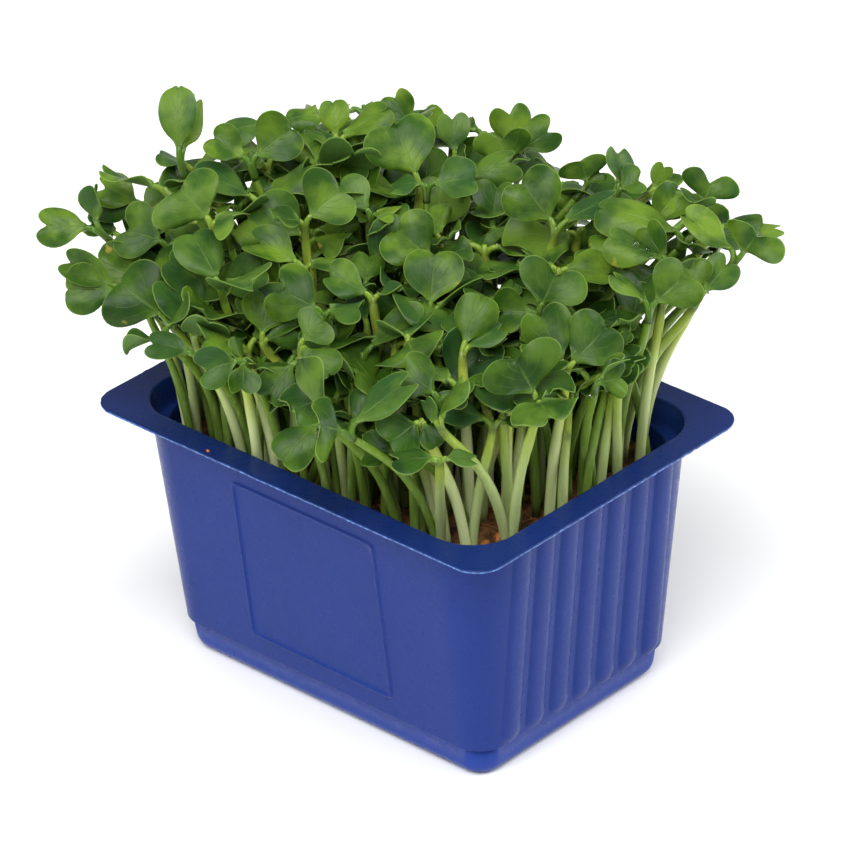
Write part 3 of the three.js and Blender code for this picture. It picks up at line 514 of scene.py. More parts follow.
def column_places():
    """For each column of a ring, its place along a short side and a long side, or far off."""
    far, no_short, no_long = (
        np.full(count, float(FAR_OFF)) for count in (CORNER_STEPS, len(LONG_COLUMNS), len(SHORT_COLUMNS))
    )
    short = [SHORT_COLUMNS, far, no_short, far]
    long = [no_long, far, LONG_COLUMNS, far]
    return np.concatenate(2 * short), np.concatenate(2 * long)


SHORT_PLACES, LONG_PLACES = column_places()


def wall_inset(height):
    return WALL_DRAFT * (1 - height / TRAY_HEIGHT)


def plinth_inset(height):
    return wall_inset(height) + PLINTH_INSET


def wall_ring(inset, radius, height):
    return ring(WALL_LENGTH - inset, WALL_WIDTH - inset, radius, height)


def rim_ring(inset, height):
    return ring(RIM_LENGTH / 2 - inset, RIM_WIDTH / 2 - inset, RIM_CORNER_RADIUS - inset, height)


def rib_relief(height):
    """How far the ribs stand out at that height, for each column."""
    middle = np.clip(np.round(SHORT_PLACES / RIB_PITCH), -(RIB_COUNT // 2), RIB_COUNT // 2)
    rise = (height - PLINTH_HEIGHT - RIB_FOOT_RISE) / (RIB_WIDTH / 2)
    share = math.sqrt(1 - (1 - min(max(rise, 0.001), 1)) ** 2)
    across = np.abs(SHORT_PLACES - middle * RIB_PITCH) / (RIB_WIDTH / 2 * share)
    return RIB_BULGE * share * np.clip(1 - across**RIB_ROUNDING, 0, 1)


def bead_relief(height):
    """How far the panel's frame stands out at that height, for each column."""
    sideways = np.abs(LONG_PLACES) - (PANEL_WIDTH - BEAD_WIDTH) / 2
    middle = (PANEL_TOP + PANEL_FOOT) / 2
    upright = abs(height - middle) - (PANEL_TOP - PANEL_FOOT - BEAD_WIDTH) / 2
    past = np.stack([sideways, upright + 0 * sideways]) + BEAD_CORNER
    round_corner = np.hypot(*np.maximum(past, 0)) + np.minimum(past.max(0), 0)
    off = np.abs(round_corner - BEAD_CORNER) / (BEAD_WIDTH / 2)
    return BEAD_RAISE * np.clip(1 - off**2, 0, 1) ** BEAD_ROUNDING


def outer_wall_heights():
    foot = PLINTH_HEIGHT + np.array(WALL_FOOT_RISES)
    bead = BEAD_WIDTH * np.linspace(*BEAD_REACH, BEAD_STEPS)
    middle = np.linspace(PANEL_FOOT + 3, PANEL_TOP - 3, PANEL_STEPS)
    top = np.linspace(PANEL_TOP + 1, TRAY_HEIGHT - RIM_THICKNESS - RIM_FILLET, TOP_STEPS)
    return np.concatenate([foot, PANEL_FOOT + bead, middle, PANEL_TOP - bead[::-1], top])


def wall_corner(height):
    return mix(WALL_CORNER_FOOT, WALL_CORNER_TOP, height / TRAY_HEIGHT)


def plinth_rings():
    rings = []
    for turn in np.radians(np.linspace(0, 90, PLINTH_EDGE_STEPS)):
        tuck = PLINTH_EDGE_RADIUS * (1 - math.sin(turn))
        height = PLINTH_EDGE_RADIUS * (1 - math.cos(turn))
        rings.append(wall_ring(plinth_inset(height) + tuck, PLINTH_CORNER - tuck, height))
    top = PLINTH_HEIGHT - PLINTH_LIP
    rings.append(wall_ring(plinth_inset(top), PLINTH_CORNER, top))
    for inset, rise in WALL_LIP:
        height = PLINTH_HEIGHT + rise
        rings.append(wall_ring(wall_inset(height) + inset, wall_corner(height), height))
    return rings


def outer_rings():
    rings = []
    for height in outer_wall_heights():
        points, normals = wall_ring(wall_inset(height), wall_corner(height), height)
        relief = rib_relief(height) + bead_relief(height)
        rings.append((points + normals * relief[:, None], normals))
    under = TRAY_HEIGHT - RIM_THICKNESS
    for out, fall in RIM_FILLET_RINGS:
        points, normals = wall_ring(wall_inset(under) - out, wall_corner(under), under - fall)
        rings.append((points + normals * rib_relief(under)[:, None], normals))
    return rings


def rim_rings():
    """The turned-out rim with its trimmed edge, a little uneven."""
    under = TRAY_HEIGHT - RIM_THICKNESS
    edge = RIM_EDGE_ROUND
    sections = (
        (RIM_UNDERSIDE, under), (edge, under), (0, under + edge),
        (0, TRAY_HEIGHT - edge), (edge, TRAY_HEIGHT), (edge * 3, TRAY_HEIGHT),
    )
    rings = []
    for inset, height in sections:
        points, normals = rim_ring(inset, height)
        nicks = [sum(noise.noise(Vector(point) * scale) for scale in RIM_NICK_SCALES) for point in points]
        share = 1 if inset <= edge else 0
        depth = RIM_NICK * share * (np.clip(np.array(nicks) / RIM_NICK_LIMIT, -1, 1) - 1) / 2
        rings.append((points + normals * depth[:, None], normals))
    rings.append(rim_ring(RIM_TOP_EDGE, TRAY_HEIGHT))
    return rings


def mouth_rings():
    rings = [wall_ring(0, MOUTH_CORNER, TRAY_HEIGHT)]
    for turn in np.radians((0, 30, 60, 90)):
        inset = MOUTH_ROUNDING * (0.5 + math.sin(turn))
        height = TRAY_HEIGHT - MOUTH_ROUNDING * (1 - math.cos(turn))
        rings.append(wall_ring(inset, MOUTH_CORNER - inset, height))
    return [*rings, *collar_rings(), *inside_rings()]


def collar_rings():
    """The steep band under the mouth, and the ledge below it."""
    rings = []
    mouth = MOUTH_CORNER - MOUTH_ROUNDING
    for share in COLLAR_SHARES:
        height = mix(TRAY_HEIGHT - MOUTH_ROUNDING, LEDGE_HEIGHT, share)
        rings.append(wall_ring(mix(1.5 * MOUTH_ROUNDING, COLLAR_INSET, share), mouth, height))
    for share, fall in LEDGE_RINGS:
        inset = mix(COLLAR_INSET, LEDGE_INSET, share)
        rings.append(wall_ring(inset, mix(mouth, LEDGE_CORNER, share), LEDGE_HEIGHT - fall))
    return rings


def inner_ring(height, gap):
    share = (height - PLINTH_HEIGHT) / (LEDGE_HEIGHT - LEDGE_FALL - PLINTH_HEIGHT)
    inset = mix(plinth_inset(PLINTH_HEIGHT) + PLINTH_WALL, LEDGE_INSET, share)
    return wall_ring(inset + gap, mix(PLINTH_CORNER, LEDGE_CORNER, share) - gap, height)


def inside_rings():
    walls = [inner_ring(height, 0) for height in INNER_HEIGHTS]
    inset = plinth_inset(0) + FLOOR_WALL
    return [*walls, wall_ring(inset, PLINTH_CORNER, FLOOR_THICKNESS)]


def add_punnet(material):
    """The tray. Marks: the light edge, partly wear and partly painted highlight, and the height as a share.
    """
    groups = [plinth_rings(), outer_rings(), rim_rings(), mouth_rings()]
    rows = np.array([points for group in groups for points, _ in group])
    marks = marks_of(rows.shape[:2], 0, rows[:, :, 2] / TRAY_HEIGHT)
    first = len(groups[0]) + len(groups[1])
    # The lower half of the rim's trimmed edge is marked light: partly its worn edge, partly a painted
    # highlight
    marks[first + 1:first + 3, :, 0] = 1
    piece = Piece(material)
    piece.closed(rows, marks)
    tray = piece.object("ribbed_punnet")
    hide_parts("punnet")


# Root places


def root_sites():
    random = seeded_random(SITE_SEED)
    sites = []
    for row in range(SITE_ROWS):
        for column in range(SITE_COLUMNS):
            at_corner = column in (0, SITE_COLUMNS - 1) and row in (0, SITE_ROWS - 1)
            pull = SITE_CORNER_PULL if at_corner else 1
            x = (column - (SITE_COLUMNS - 1) / 2) * SITE_PITCH_X
            y = (row - (SITE_ROWS - 1) / 2) * SITE_PITCH_Y
            jitter_x = between(random, -SITE_JITTER, SITE_JITTER)
            jitter_y = between(random, -SITE_JITTER, SITE_JITTER)
            sites.append({"x": x * pull + jitter_x, "y": y * pull + jitter_y, "seedlings": []})
    return sites


def nearest_sites(sites, x, y):
    free = [site for site in sites if len(site["seedlings"]) < SITE_CAPACITY]
    free.sort(key=lambda site: math.hypot(site["x"] - x, site["y"] - y))
    return free[:SITE_CHOICES]


# Sight lines


def sight_line(place):
    right = (place[0] - SIGHT_CENTRE[0]) / FOCAL
    up = (SIGHT_CENTRE[1] - place[1]) / FOCAL
    return -BACK + right * SIGHT_RIGHT + up * SIGHT_UP


def on_canopy(place, push):
    line = sight_line(place)
    fall = CANOPY_HEIGHT + CANOPY_SLOPE * (AHEAD @ EYE) - EYE[2]
    reach = fall / (line[2] - CANOPY_SLOPE * (AHEAD @ line))
    return EYE + line * (reach + push / (AHEAD @ line))


def on_level(place, height):
    line = sight_line(place)
    return EYE + line * ((height - EYE[2]) / line[2])


# Leaves as axes: forward from the head to the notch, the face's normal, and the side


def blade_axes(head, reach, facing, width):
    forward = unit(reach)
    normal = unit(facing - (facing @ forward) * forward)
    return {
        "head": head,
        "forward": forward,
        "normal": normal,
        "side": np.cross(forward, normal),
        "length": np.linalg.norm(reach),
        "width": width,
    }


def seen_blade(head, seen_leaf):
    tip, lean, width, face_eye, face_right, notch, slim = seen_leaf
    distance = DISTANCE - BACK @ (head - TARGET)
    flat = EYE + distance * sight_line(tip) - head
    reach = flat + math.tan(math.radians(lean)) * np.linalg.norm(flat) * BACK
    facing = (1 - face_eye) * UP + face_eye * BACK + face_right * LEVEL_RIGHT
    return {**blade_axes(head, reach, facing, width), "notch": notch, "slim": slim}


def partner_blade(blade):
    """The second leaf of a pair, where only one is seen: smaller, across the stem."""
    reach = blade["forward"] * blade["length"] * PARTNER_LENGTH
    reach = np.array([-reach[0], -reach[1], abs(reach[2]) * PARTNER_RISE])
    return blade_axes(blade["head"], reach, UP, blade["width"] * PARTNER_WIDTH)


def blade_point(blade, along, across):
    """Points of a blade, for single places along and across it or for arrays of them."""
    along = np.asarray(along, float)[..., None]
    across = np.asarray(across, float)[..., None]
    half = blade["width"] / 2
    lift = BLADE_FOLD * half * np.abs(across) - BLADE_DROOP * blade["length"] * along**2
    sideways = across * half * blade["side"]
    return blade["head"] + along * blade["length"] * blade["forward"] + sideways + lift * blade["normal"]


def stem_corners(site, head):
    """A stem rises upright from its root place and leans over to its head."""
    away = np.array([head[0] - site["x"], head[1] - site["y"], 0])
    foot = np.array([site["x"], site["y"], SOIL_LEVEL - ROOT_DEPTH])
    rise = head[2] - foot[2]
    knee = foot + unit(away) * ROOT_SPREAD + rise * STEM_KNEE * UP
    height = head[2] - SOIL_LEVEL
    bend = STEM_BEND * np.linalg.norm(away) / height
    arrival = unit(bend * away + height * UP)
    return foot, knee, head - STEM_NECK * rise * arrival, head


# Seating: a seedling goes to the first seat where it is clear of those already there


def samples_of(seedling):
    steps = np.arange(1, STEM_SAMPLES + 1) / STEM_SAMPLES
    spots = [blade_point(blade, *LEAF_SPOTS) for blade in seedling["blades"]]
    return np.concatenate([bezier(seedling["stem"], steps), *spots])


def clashes(seedling, others):
    """How many of the seedling's points come near another seedling, counted for each other."""
    points = seedling["samples"]
    low = points.min(0) - CLEARANCE
    high = points.max(0) + CLEARANCE
    count = 0
    for other in others:
        if np.any(other["low"] > high) or np.any(other["high"] < low):
            continue
        apart = points[:, None] - other["samples"][None]
        near = np.einsum("ijk,ijk->ij", apart, apart).min(1) < CLEARANCE**2
        if other["site"] is seedling["site"]:
            near &= points[:, 2] >= SOIL_LEVEL + ROOT_DEPTH
        count += int(near.sum())
    return count


def seedling_at(site, head, blades):
    seedling = {"site": site, "head": head, "blades": blades, "stem": stem_corners(site, head)}
    seedling["samples"] = samples_of(seedling)
    seedling["low"] = seedling["samples"].min(0)
    seedling["high"] = seedling["samples"].max(0)
    return seedling


def seat_seen(entry, sites, grown):
    best = None
    for partnered in (True, False) if len(entry["leaves"]) == 1 else (False,):
        for extra in PUSHES:
            head = on_canopy(entry["head"], entry["push"] + extra)
            blades = [seen_blade(head, seen_leaf) for seen_leaf in entry["leaves"]]
            if partnered:
                blades.append(partner_blade(blades[0]))
            mouth = entry["mouth"]
            root = on_level(mouth, TRAY_HEIGHT) if mouth else ROOT_PULL * head
            for site in nearest_sites(sites, root[0], root[1]):
                seedling = seedling_at(site, head, blades)
                count = clashes(seedling, grown)
                if best is None or count < best[0]:
                    best = (count, seedling)
                if count == 0:
                    return seedling
    return best[1]


def fill_seedling(site, random):
    head = np.array([site["x"] * FILL_SPREAD, site["y"] * FILL_SPREAD, 0])
    head[0] += between(random, -FILL_WANDER, FILL_WANDER)
    head[1] += between(random, -FILL_WANDER, FILL_WANDER)
    head[2] = CANOPY_HEIGHT + CANOPY_SLOPE * (AHEAD @ head) - between(random, *FILL_DROP)
    turn = between(random, 0, math.pi)
    blades = []
    for half in (0, math.pi):
        reach = np.array([math.cos(turn + half), math.sin(turn + half), 0])
        reach[2] = between(random, *FILL_LEAF_RISE)
        reach = unit(reach) * between(random, *FILL_LEAF_LENGTH)
        blades.append(blade_axes(head, reach, UP, between(random, *FILL_LEAF_WIDTH)))
    return seedling_at(site, head, blades)


def barest_first(sites, grown):
    """The root places, those furthest from any head first."""
    heads = np.array([seedling["head"][:2] for seedling in grown])

    def bareness(site):
        place = np.array([site["x"], site["y"]]) * FILL_SPREAD
        return np.linalg.norm(heads - place, axis=1).min()

    return sorted(sites, key=bareness, reverse=True)


def grow_seedlings(sites):
    """Seats the seedlings of the solids, in the same order and by the same rule."""
    grown = []
    for entry in SEEN:
        seedling = seat_seen(entry, sites, grown)
        seedling["seen"] = len(entry["leaves"])
        seedling["site"]["seedlings"].append(seedling)
        grown.append(seedling)
    random = seeded_random(FILL_SEED)
    limit = len(grown) + FILL_LIMIT
    for site in barest_first(sites, grown):
        for _ in range(FILL_TRIES):
            seedling = fill_seedling(site, random)
            room = len(site["seedlings"]) < SITE_CAPACITY and len(grown) < limit
            if room and clashes(seedling, grown) == 0:
                site["seedlings"].append(seedling)
                grown.append(seedling)
    return grown


# Extra seedlings between the others: lower and closer together. Seen from the eye they stay
# within the outline of the canopy, given on the sighting plane.

CANOPY_OUTLINE = (
    (52, 232), (108, 184), (168, 150), (205, 138), (238, 116), (300, 104), (395, 98), (490, 104),
    (548, 122), (556, 160), (640, 165), (704, 180), (745, 212), (765, 250), (712, 292), (655, 305),
    (648, 340), (652, 368),
    (600, 398), (540, 396), (486, 420), (440, 452), (330, 448), (270, 402), (205, 352), (150, 336),
    (96, 312), (70, 276),
)
EXTRA_TRIES = 20000
EXTRA_SEED = 77
EXTRA_REACH = (58, 45)
EXTRA_DROP = (-1, 19)
EXTRA_TILT = 0.7
EXTRA_LEAF_RISE = (-0.2, 1.1)
EXTRA_LEAF_LENGTH = (7.5, 13)
EXTRA_LEAF_SHAPE = (0.85, 1.0)
EXTRA_ROOTS = (38.5, 26.5)
EXTRA_ROOTS_ROUNDING = 3
EXTRA_ROOT_PULL = (0.6, 0.95)
EXTRA_ROOT_WANDER = 5
EXTRA_ROOT_TRIES = 8

# Seedlings in between, rooted where the block is still bare, with small leaves under the others
BETWEEN_PITCH = 3
BETWEEN_EDGE = 1.06
BETWEEN_ROUNDING = 5
BETWEEN_JITTER = 0.8
BETWEEN_FOOT_ROOM = 2.3
BETWEEN_TRIES = 60
BETWEEN_SEED = 91
BETWEEN_SPREAD = 1.12
BETWEEN_WANDER = 9
BETWEEN_DROP = (2, 28)
BETWEEN_LEAF_LENGTH = (3.5, 7)
BETWEEN_STEM_ROOM = 1.3
BETWEEN_STALK_ROOM = 0.5
BETWEEN_LEAF_ROOM = 0.3

# An extra hides a leaf where it is seen this close to it, and may do so with so many points
HIDE_REACH = 7
HIDE_LIMIT = 3

# Distances kept between the centre lines of stems, a stem and a leaf, and two leaves
STEM_ROOM = 1.7
STALK_ROOM = 0.9
LEAF_ROOM = 0.6


def depth_of(points):
    """How far points are from the eye, along its axis."""
    return (EYE - points) @ BACK


def sighted(points):
    """Where points are seen on the sighting plane."""
    away = points - EYE
    depth = depth_of(points)
    across = SIGHT_CENTRE[0] + FOCAL * (away @ SIGHT_RIGHT) / depth
    return across, SIGHT_CENTRE[1] - FOCAL * (away @ SIGHT_UP) / depth


def within(outline, across, down):
    """Which places lie inside a closed outline."""
    inside = np.zeros(len(across), bool)
    for (x0, y0), (x1, y1) in zip(outline, (*outline[1:], outline[0])):
        passes = (y0 > down) != (y1 > down)
        inside ^= passes & (across < x0 + (x1 - x0) * (down - y0) / (y1 - y0 or 1))
    return inside


def stem_points(stem):
    return bezier(stem, np.linspace(0.12, 1, 26))


def leaf_points(blades):
    along, across = np.meshgrid((0.3, 0.55, 0.8, 1.05), (-0.9, -0.45, 0, 0.45, 0.9))
    return np.concatenate([blade_point(blade, along.ravel(), across.ravel()) for blade in blades])


def tree_of(points):
    tree = KDTree(len(points))
    for index, point in enumerate(points):
        tree.insert(point, index)
    tree.balance()
    return tree


class Crowd:
    """What stands already: points on stems and on leaves, for tests of the room around others."""

    def __init__(self, seedlings):
        stems = [point for seedling in seedlings for point in stem_points(seedling["stem"])]
        leaves = [point for seedling in seedlings for point in leaf_points(seedling["blades"])]
        self.trees = (tree_of(stems), tree_of(leaves))

    def meets(self, points, *rooms):
        """Whether a point comes nearer to a stem or to a leaf than the two rooms allow."""
        for point in points:
            for tree, room in zip(self.trees, rooms):
                distance = tree.find(point)[2]
                if distance is not None and distance < room:
                    return True
        return False


class Sight:
    """The leaves that can be told apart, as the eye sees them, so that no extra hides them."""

    def __init__(self, seedlings):
        told_apart = [seedling["blades"][:seedling.get("seen", 0)] for seedling in seedlings]
        points = leaf_points([blade for blades in told_apart for blade in blades])
        self.depths = depth_of(points)
        self.tree = tree_of([(across, down, 0) for across, down in zip(*sighted(points))])

    def hidden_by(self, points):
        """How many of the given points stand in front of such a leaf."""
        count = 0
        for across, down, depth in zip(*sighted(points), depth_of(points)):
            near = self.tree.find_range((across, down, 0), HIDE_REACH)
            count += any(self.depths[index] > depth for _, index, _ in near)
        return count


def canopy_head(x, y, drop):
    return np.array([x, y, CANOPY_HEIGHT + CANOPY_SLOPE * (AHEAD @ (x, y, 0)) - drop])


def extra_head(random):
    x, y = (between(random, -1, 1) * reach for reach in EXTRA_REACH)
    return canopy_head(x, y, between(random, *EXTRA_DROP))


def extra_blades(head, random, lengths):
    """A pair of leaves, open or partly closed."""
    turn = between(random, 0, math.pi)
    tilt = np.array([between(random, -1, 1), between(random, -1, 1), 0]) * EXTRA_TILT
    rise = between(random, *EXTRA_LEAF_RISE)
    blades = []
    for half in (0, math.pi):
        reach = np.array([math.cos(turn + half), math.sin(turn + half), rise])
        length = between(random, *lengths)
        width = length * between(random, *EXTRA_LEAF_SHAPE)
        blades.append(blade_axes(head, unit(reach) * length, UP + tilt, width))
    return blades


def root_reach(x, y, rounding):
    """How far out a root place is, where 1 is the edge of the rooted part."""
    parts = np.abs(np.array([x, y]) / EXTRA_ROOTS) ** rounding
    return parts.sum() ** (1 / rounding)


def extra_site(head, random):
    pull = between(random, *EXTRA_ROOT_PULL)
    wander = [between(random, -EXTRA_ROOT_WANDER, EXTRA_ROOT_WANDER) for _ in range(2)]
    place = head[:2] * pull + wander
    x, y = place / max(root_reach(*place, EXTRA_ROOTS_ROUNDING), 1)
    return {"x": x, "y": y}


def leaves_fit(blades, crowds, sight, *rooms):
    """Whether leaves lie inside the canopy's outline, with room around them, and hide no other."""
    points = leaf_points(blades)
    if not within(CANOPY_OUTLINE, *sighted(points)).all() or sight.hidden_by(points) > HIDE_LIMIT:
        return False
    return not any(crowd.meets(points, *rooms) for crowd in crowds)


def stem_fits(stem, crowds, *rooms):
    points = stem_points(stem)
    return not any(crowd.meets(points, *rooms) for crowd in crowds)


def grow_extras(grown):
    """Tries random seats and keeps those that fit."""
    random = seeded_random(EXTRA_SEED)
    sight = Sight(grown)
    extras = []
    crowds = [Crowd(grown), Crowd(extras)]
    for _ in range(EXTRA_TRIES):
        head = extra_head(random)
        blades = extra_blades(head, random, EXTRA_LEAF_LENGTH)
        if not leaves_fit(blades, crowds, sight, STALK_ROOM, LEAF_ROOM):
            continue
        for _ in range(EXTRA_ROOT_TRIES):
            stem = stem_corners(extra_site(head, random), head)
            if stem_fits(stem, crowds, STEM_ROOM, STALK_ROOM):
                extras.append({"head": head, "blades": blades, "stem": stem})
                crowds[1] = Crowd(extras)
                break
    return extras


def bare_sites(seedlings, random):
    """Root places on a fine grid that no stem stands near, the barest first."""
    feet = np.array([bezier(seedling["stem"], (0.15,))[0][:2] for seedling in seedlings])
    found = []
    length, width = np.array(EXTRA_ROOTS) * BETWEEN_EDGE
    for x in np.arange(-length, length + 1, BETWEEN_PITCH):
        for y in np.arange(-width, width + 1, BETWEEN_PITCH):
            place = np.array([x, y]) + [between(random, -1, 1) * BETWEEN_JITTER for _ in range(2)]
            room = np.linalg.norm(feet - place, axis=1).min()
            within_edge = root_reach(*place, BETWEEN_ROUNDING) <= BETWEEN_EDGE
            if within_edge and room > BETWEEN_FOOT_ROOM:
                found.append((room, {"x": place[0], "y": place[1]}))
    found.sort(key=lambda pair: -pair[0])
    return [site for _, site in found]


def seat_between(site, crowds, sight, random):
    """A small seedling with its leaves under the canopy, or None if there is no room."""
    for _ in range(BETWEEN_TRIES):
        x, y = (site[axis] * BETWEEN_SPREAD + between(random, -1, 1) * BETWEEN_WANDER for axis in "xy")
        head = canopy_head(x, y, between(random, *BETWEEN_DROP))
        blades = extra_blades(head, random, BETWEEN_LEAF_LENGTH)
        stem = stem_corners(site, head)
        if not leaves_fit(blades, crowds, sight, BETWEEN_STALK_ROOM, BETWEEN_LEAF_ROOM):
            continue
        if sight.hidden_by(stem_points(stem)) > HIDE_LIMIT:
            continue
        if stem_fits(stem, crowds, BETWEEN_STEM_ROOM, BETWEEN_STALK_ROOM):
            return {"head": head, "blades": blades, "stem": stem}
    return None


def grow_between(grown):
    """Fills the bare places of the block."""
    random = seeded_random(BETWEEN_SEED)
    sight = Sight(grown)
    first = Crowd(grown)
    added = []
    for site in bare_sites(grown, random):
        made = seat_between(site, (first, Crowd(added)), sight, random)
        if made:
            added.append(made)
    return added


# Fine leaves. The right edge of a blade runs from its stalk round the lobe to the notch. A leaf's
# tone is left to chance by its spread, and higher leaves are painted lighter: painted light from above.

LEAF_START = 0.2
LEAF_EDGE = (
    (0.31, 0.3), (0.43, 0.66), (0.6, 0.95), (0.8, 1.06), (0.99, 0.98),
    (1.11, 0.78), (1.15, 0.52), (1.1, 0.24), (1.01, 0.03),
)
NOTCH_DEPTH = 0.16
NOTCH_WIDTH = 0.32
NOTCH_START = 0.7
MOST_DRAWN_IN = 0.75
DRAWING_STEP = 0.03
TONE_SPREAD = 0.5
# Painted light: the height from which leaves are painted lighter, and the rise over which they reach the
# lightest
PAINTED_LIGHT_FROM = 74
PAINTED_LIGHT_RISE = 38
LEAF_FORMS = {
    "curl": (-0.58, 0.32),
    "arch": (-0.15, 0.42),
    "wave": (0.05, 0.24),
    "waves": (0.8, 2.0),
    "phase": (0, 2 * math.pi),
    "twist": (-0.42, 0.42),
    "skew": (-0.13, 0.13),
    "notch": (0.3, 1.7),
}
LEAF_ROWS = 20
LEAF_HALF_COLUMNS = 8
EXTRA_LEAF_ROWS = 12
EXTRA_LEAF_HALF_COLUMNS = 5
LOBE_SWEEP = 1.4
FOLD_SOFTNESS = 0.02
WAVE_SWEEP = 2.5
TWIST_MIDDLE = 0.6
ARCH_MIDDLE = 0.5
LEAF_HALF_THICKNESS = 0.2
MARGIN_THINNING = 0.6
LEAF_BASE = 0.07
LEAF_BASE_RISE = 0.8
LEAF_RIB = 0.35
LEAF_RIB_WIDTH = 0.5
LEAF_RIB_FADE = 0.8
STALK_RADIUS = 0.5
STALK_ROOT_RADIUS = 0.75
STALK_ROOT = 0.9
STALK_ROOT_STEP = 0.02
STALK_INTO_LEAF = 0.03
STALK_LEAVING = 0.45
STALK_ARRIVING = 0.35
STALK_STEPS = 9
STALK_SIDES = 8
STALK_MARKS = (0.95, 1.1)
STEM_BASE_RADIUS = 1.02
STEM_TOP_RADIUS = 0.8
STEM_START = 0.08
STEM_UNEVENNESS = 0.05
STEM_THICKNESSES = (0.82, 1.08)
STEM_TIP = (0.9, 0.5)
STEM_STEPS = 18
INNER_PIECES = 4


def smooth_path(points, count):
    """Evenly spread points on a smooth curve through the given ones."""
    points = np.asarray(points, float)
    padded = np.vstack([2 * points[0] - points[1], points, 2 * points[-1] - points[-2]])
    places = np.linspace(0, len(points) - 1, count)
    spans = np.minimum(places.astype(int), len(points) - 2)
    t = (places - spans)[:, None]
    a, b, c, d = (padded[spans + step] for step in range(4))
    bend = (2 * a - 5 * b + 4 * c - d) * t**2 + (3 * b - a - 3 * c + d) * t**3
    return b + 0.5 * ((c - a) * t + bend)


def leaf_form(random, height):
    """How one leaf departs from the plain blade: curled edges, waves, twist and uneven lobes."""
    form = {name: between(random, *limits) for name, limits in LEAF_FORMS.items()}
    # Random tone, plus painted light: the higher the leaf, the lighter it is painted
    form["tone"] = min(max(TONE_SPREAD * random() + (height - PAINTED_LIGHT_FROM) / PAINTED_LIGHT_RISE, 0), 1)
    return form


def leaf_middle(blade, form, rows, columns):
    """Points of the blade's middle surface, with places across it and along it."""
    half = blade["width"] / 2 * blade.get("slim", 1)
    notch = blade.get("notch") or form["notch"]
    edge = smooth_path(((LEAF_START, STALK_RADIUS / half), *LEAF_EDGE), rows)
    u = np.linspace(0, 1, rows)
    t = np.sin(np.linspace(-math.pi / 2, math.pi / 2, columns))
    at_notch = np.exp(-((edge[:, 1] / NOTCH_WIDTH) ** 2)) * (edge[:, 0] > NOTCH_START)
    edge[:, 0] += (1 - notch) * NOTCH_DEPTH * at_notch
    spine = mix(LEAF_START, 1 + (1 - notch) * NOTCH_DEPTH, u)[:, None]
    along = spine + (edge[:, :1] - spine) * np.abs(t) ** LOBE_SWEEP
    across = edge[:, 1:] * t * (1 + form["skew"] * np.sign(t) * u[:, None])
    fold = BLADE_FOLD * (np.sqrt(across**2 + FOLD_SOFTNESS) - math.sqrt(FOLD_SOFTNESS))
    fold = fold + form["curl"] * across**2
    turn = 2 * math.pi * form["waves"] * u[:, None] + form["phase"] * np.sign(t)
    ripple = form["wave"] * np.abs(t) ** WAVE_SWEEP * np.sin(turn)
    ripple = ripple + form["twist"] * across * (along - TWIST_MIDDLE)
    droop = BLADE_DROOP * along**2 + form["arch"] * (along - ARCH_MIDDLE) ** 2
    lift = half * (fold + ripple) - droop * blade["length"]
    points = blade["head"] + along[..., None] * blade["length"] * blade["forward"]
    points = points + (across * half)[..., None] * blade["side"] + lift[..., None] * blade["normal"]
    return points, t, u, across * half


def kept_inside(points, head):
    """Draws a leaf in towards its head until it lies in the solids' box."""
    low, high = (np.array(corner) / MM for corner in cad_bounds)
    for share in np.arange(1, MOST_DRAWN_IN, -DRAWING_STEP):
        drawn = head + (points - head) * share
        if (drawn > low).all() and (drawn < high).all():
            break
    return drawn


def add_leaf(piece, blade, form, rows, half_columns):
    points, t, u, sideways = leaf_middle(blade, form, rows, 2 * half_columns + 1)
    points = kept_inside(points, blade["head"])
    thin = LEAF_HALF_THICKNESS * (1 - MARGIN_THINNING * t**6) * np.ones((rows, 1))
    base = np.exp(-u / LEAF_BASE)[:, None]
    above = thin + (STALK_RADIUS - thin) * base * LEAF_BASE_RISE
    fade = (1 - u[:, None]) ** LEAF_RIB_FADE
    rib = LEAF_RIB * np.exp(-((sideways / LEAF_RIB_WIDTH) ** 2)) * fade
    below = thin + np.maximum((STALK_RADIUS - thin) * base, rib)
    marks = marks_of((rows, len(t)), np.abs(t), u[:, None], form["tone"], 1)
    under = marks_of((rows, len(t)), np.abs(t), u[:, None], form["tone"])
    top = piece.sheet(points + above[..., None] * blade["normal"], marks)
    low = piece.sheet(points - below[..., None] * blade["normal"], under, turned=True)
    edges = ((top[:, -1], low[:, -1]), (top[:, 0], low[:, 0]), (top[0], low[0]), (top[-1], low[-1]))
    for turned, edge in zip((False, True, False, True), edges):
        piece.bridge(np.stack(edge, 1), turned=turned)


def add_stem(piece, seedling, tone):
    """A stem tapering to its head. Marks: height as a share of its length, and its tone."""
    shares = np.linspace(STEM_START, 1, STEM_STEPS)
    centres = bezier(seedling["stem"], shares)
    radii = mix(STEM_BASE_RADIUS, STEM_TOP_RADIUS, shares)
    radii = radii * (1 + STEM_UNEVENNESS * np.sin(shares * 17 + tone * 40)) * mix(*STEM_THICKNESSES, tone)
    radii[-2:] *= STEM_TIP
    tube(piece, centres, radii, marks_of((STEM_STEPS,), 0, shares, tone), slot=1)


def add_stalk(piece, seedling, blade, tone):
    """The short stalk that joins a leaf to the stem's head."""
    root, after = bezier(seedling["stem"], (STALK_ROOT, STALK_ROOT + STALK_ROOT_STEP))
    tip = blade_point(blade, LEAF_START + STALK_INTO_LEAF, 0)
    reach = np.linalg.norm(tip - root)
    leaving = root + unit(after - root) * reach * STALK_LEAVING
    arriving = tip - blade["forward"] * reach * STALK_ARRIVING
    corners = (root, leaving, arriving, tip)
    shares = np.linspace(0, 1, STALK_STEPS)
    marks = marks_of((STALK_STEPS,), 0, mix(*STALK_MARKS, shares), tone)
    radii = mix(STALK_ROOT_RADIUS, STALK_RADIUS, shares)
    tube(piece, bezier(corners, shares), radii, marks, STALK_SIDES, slot=1)


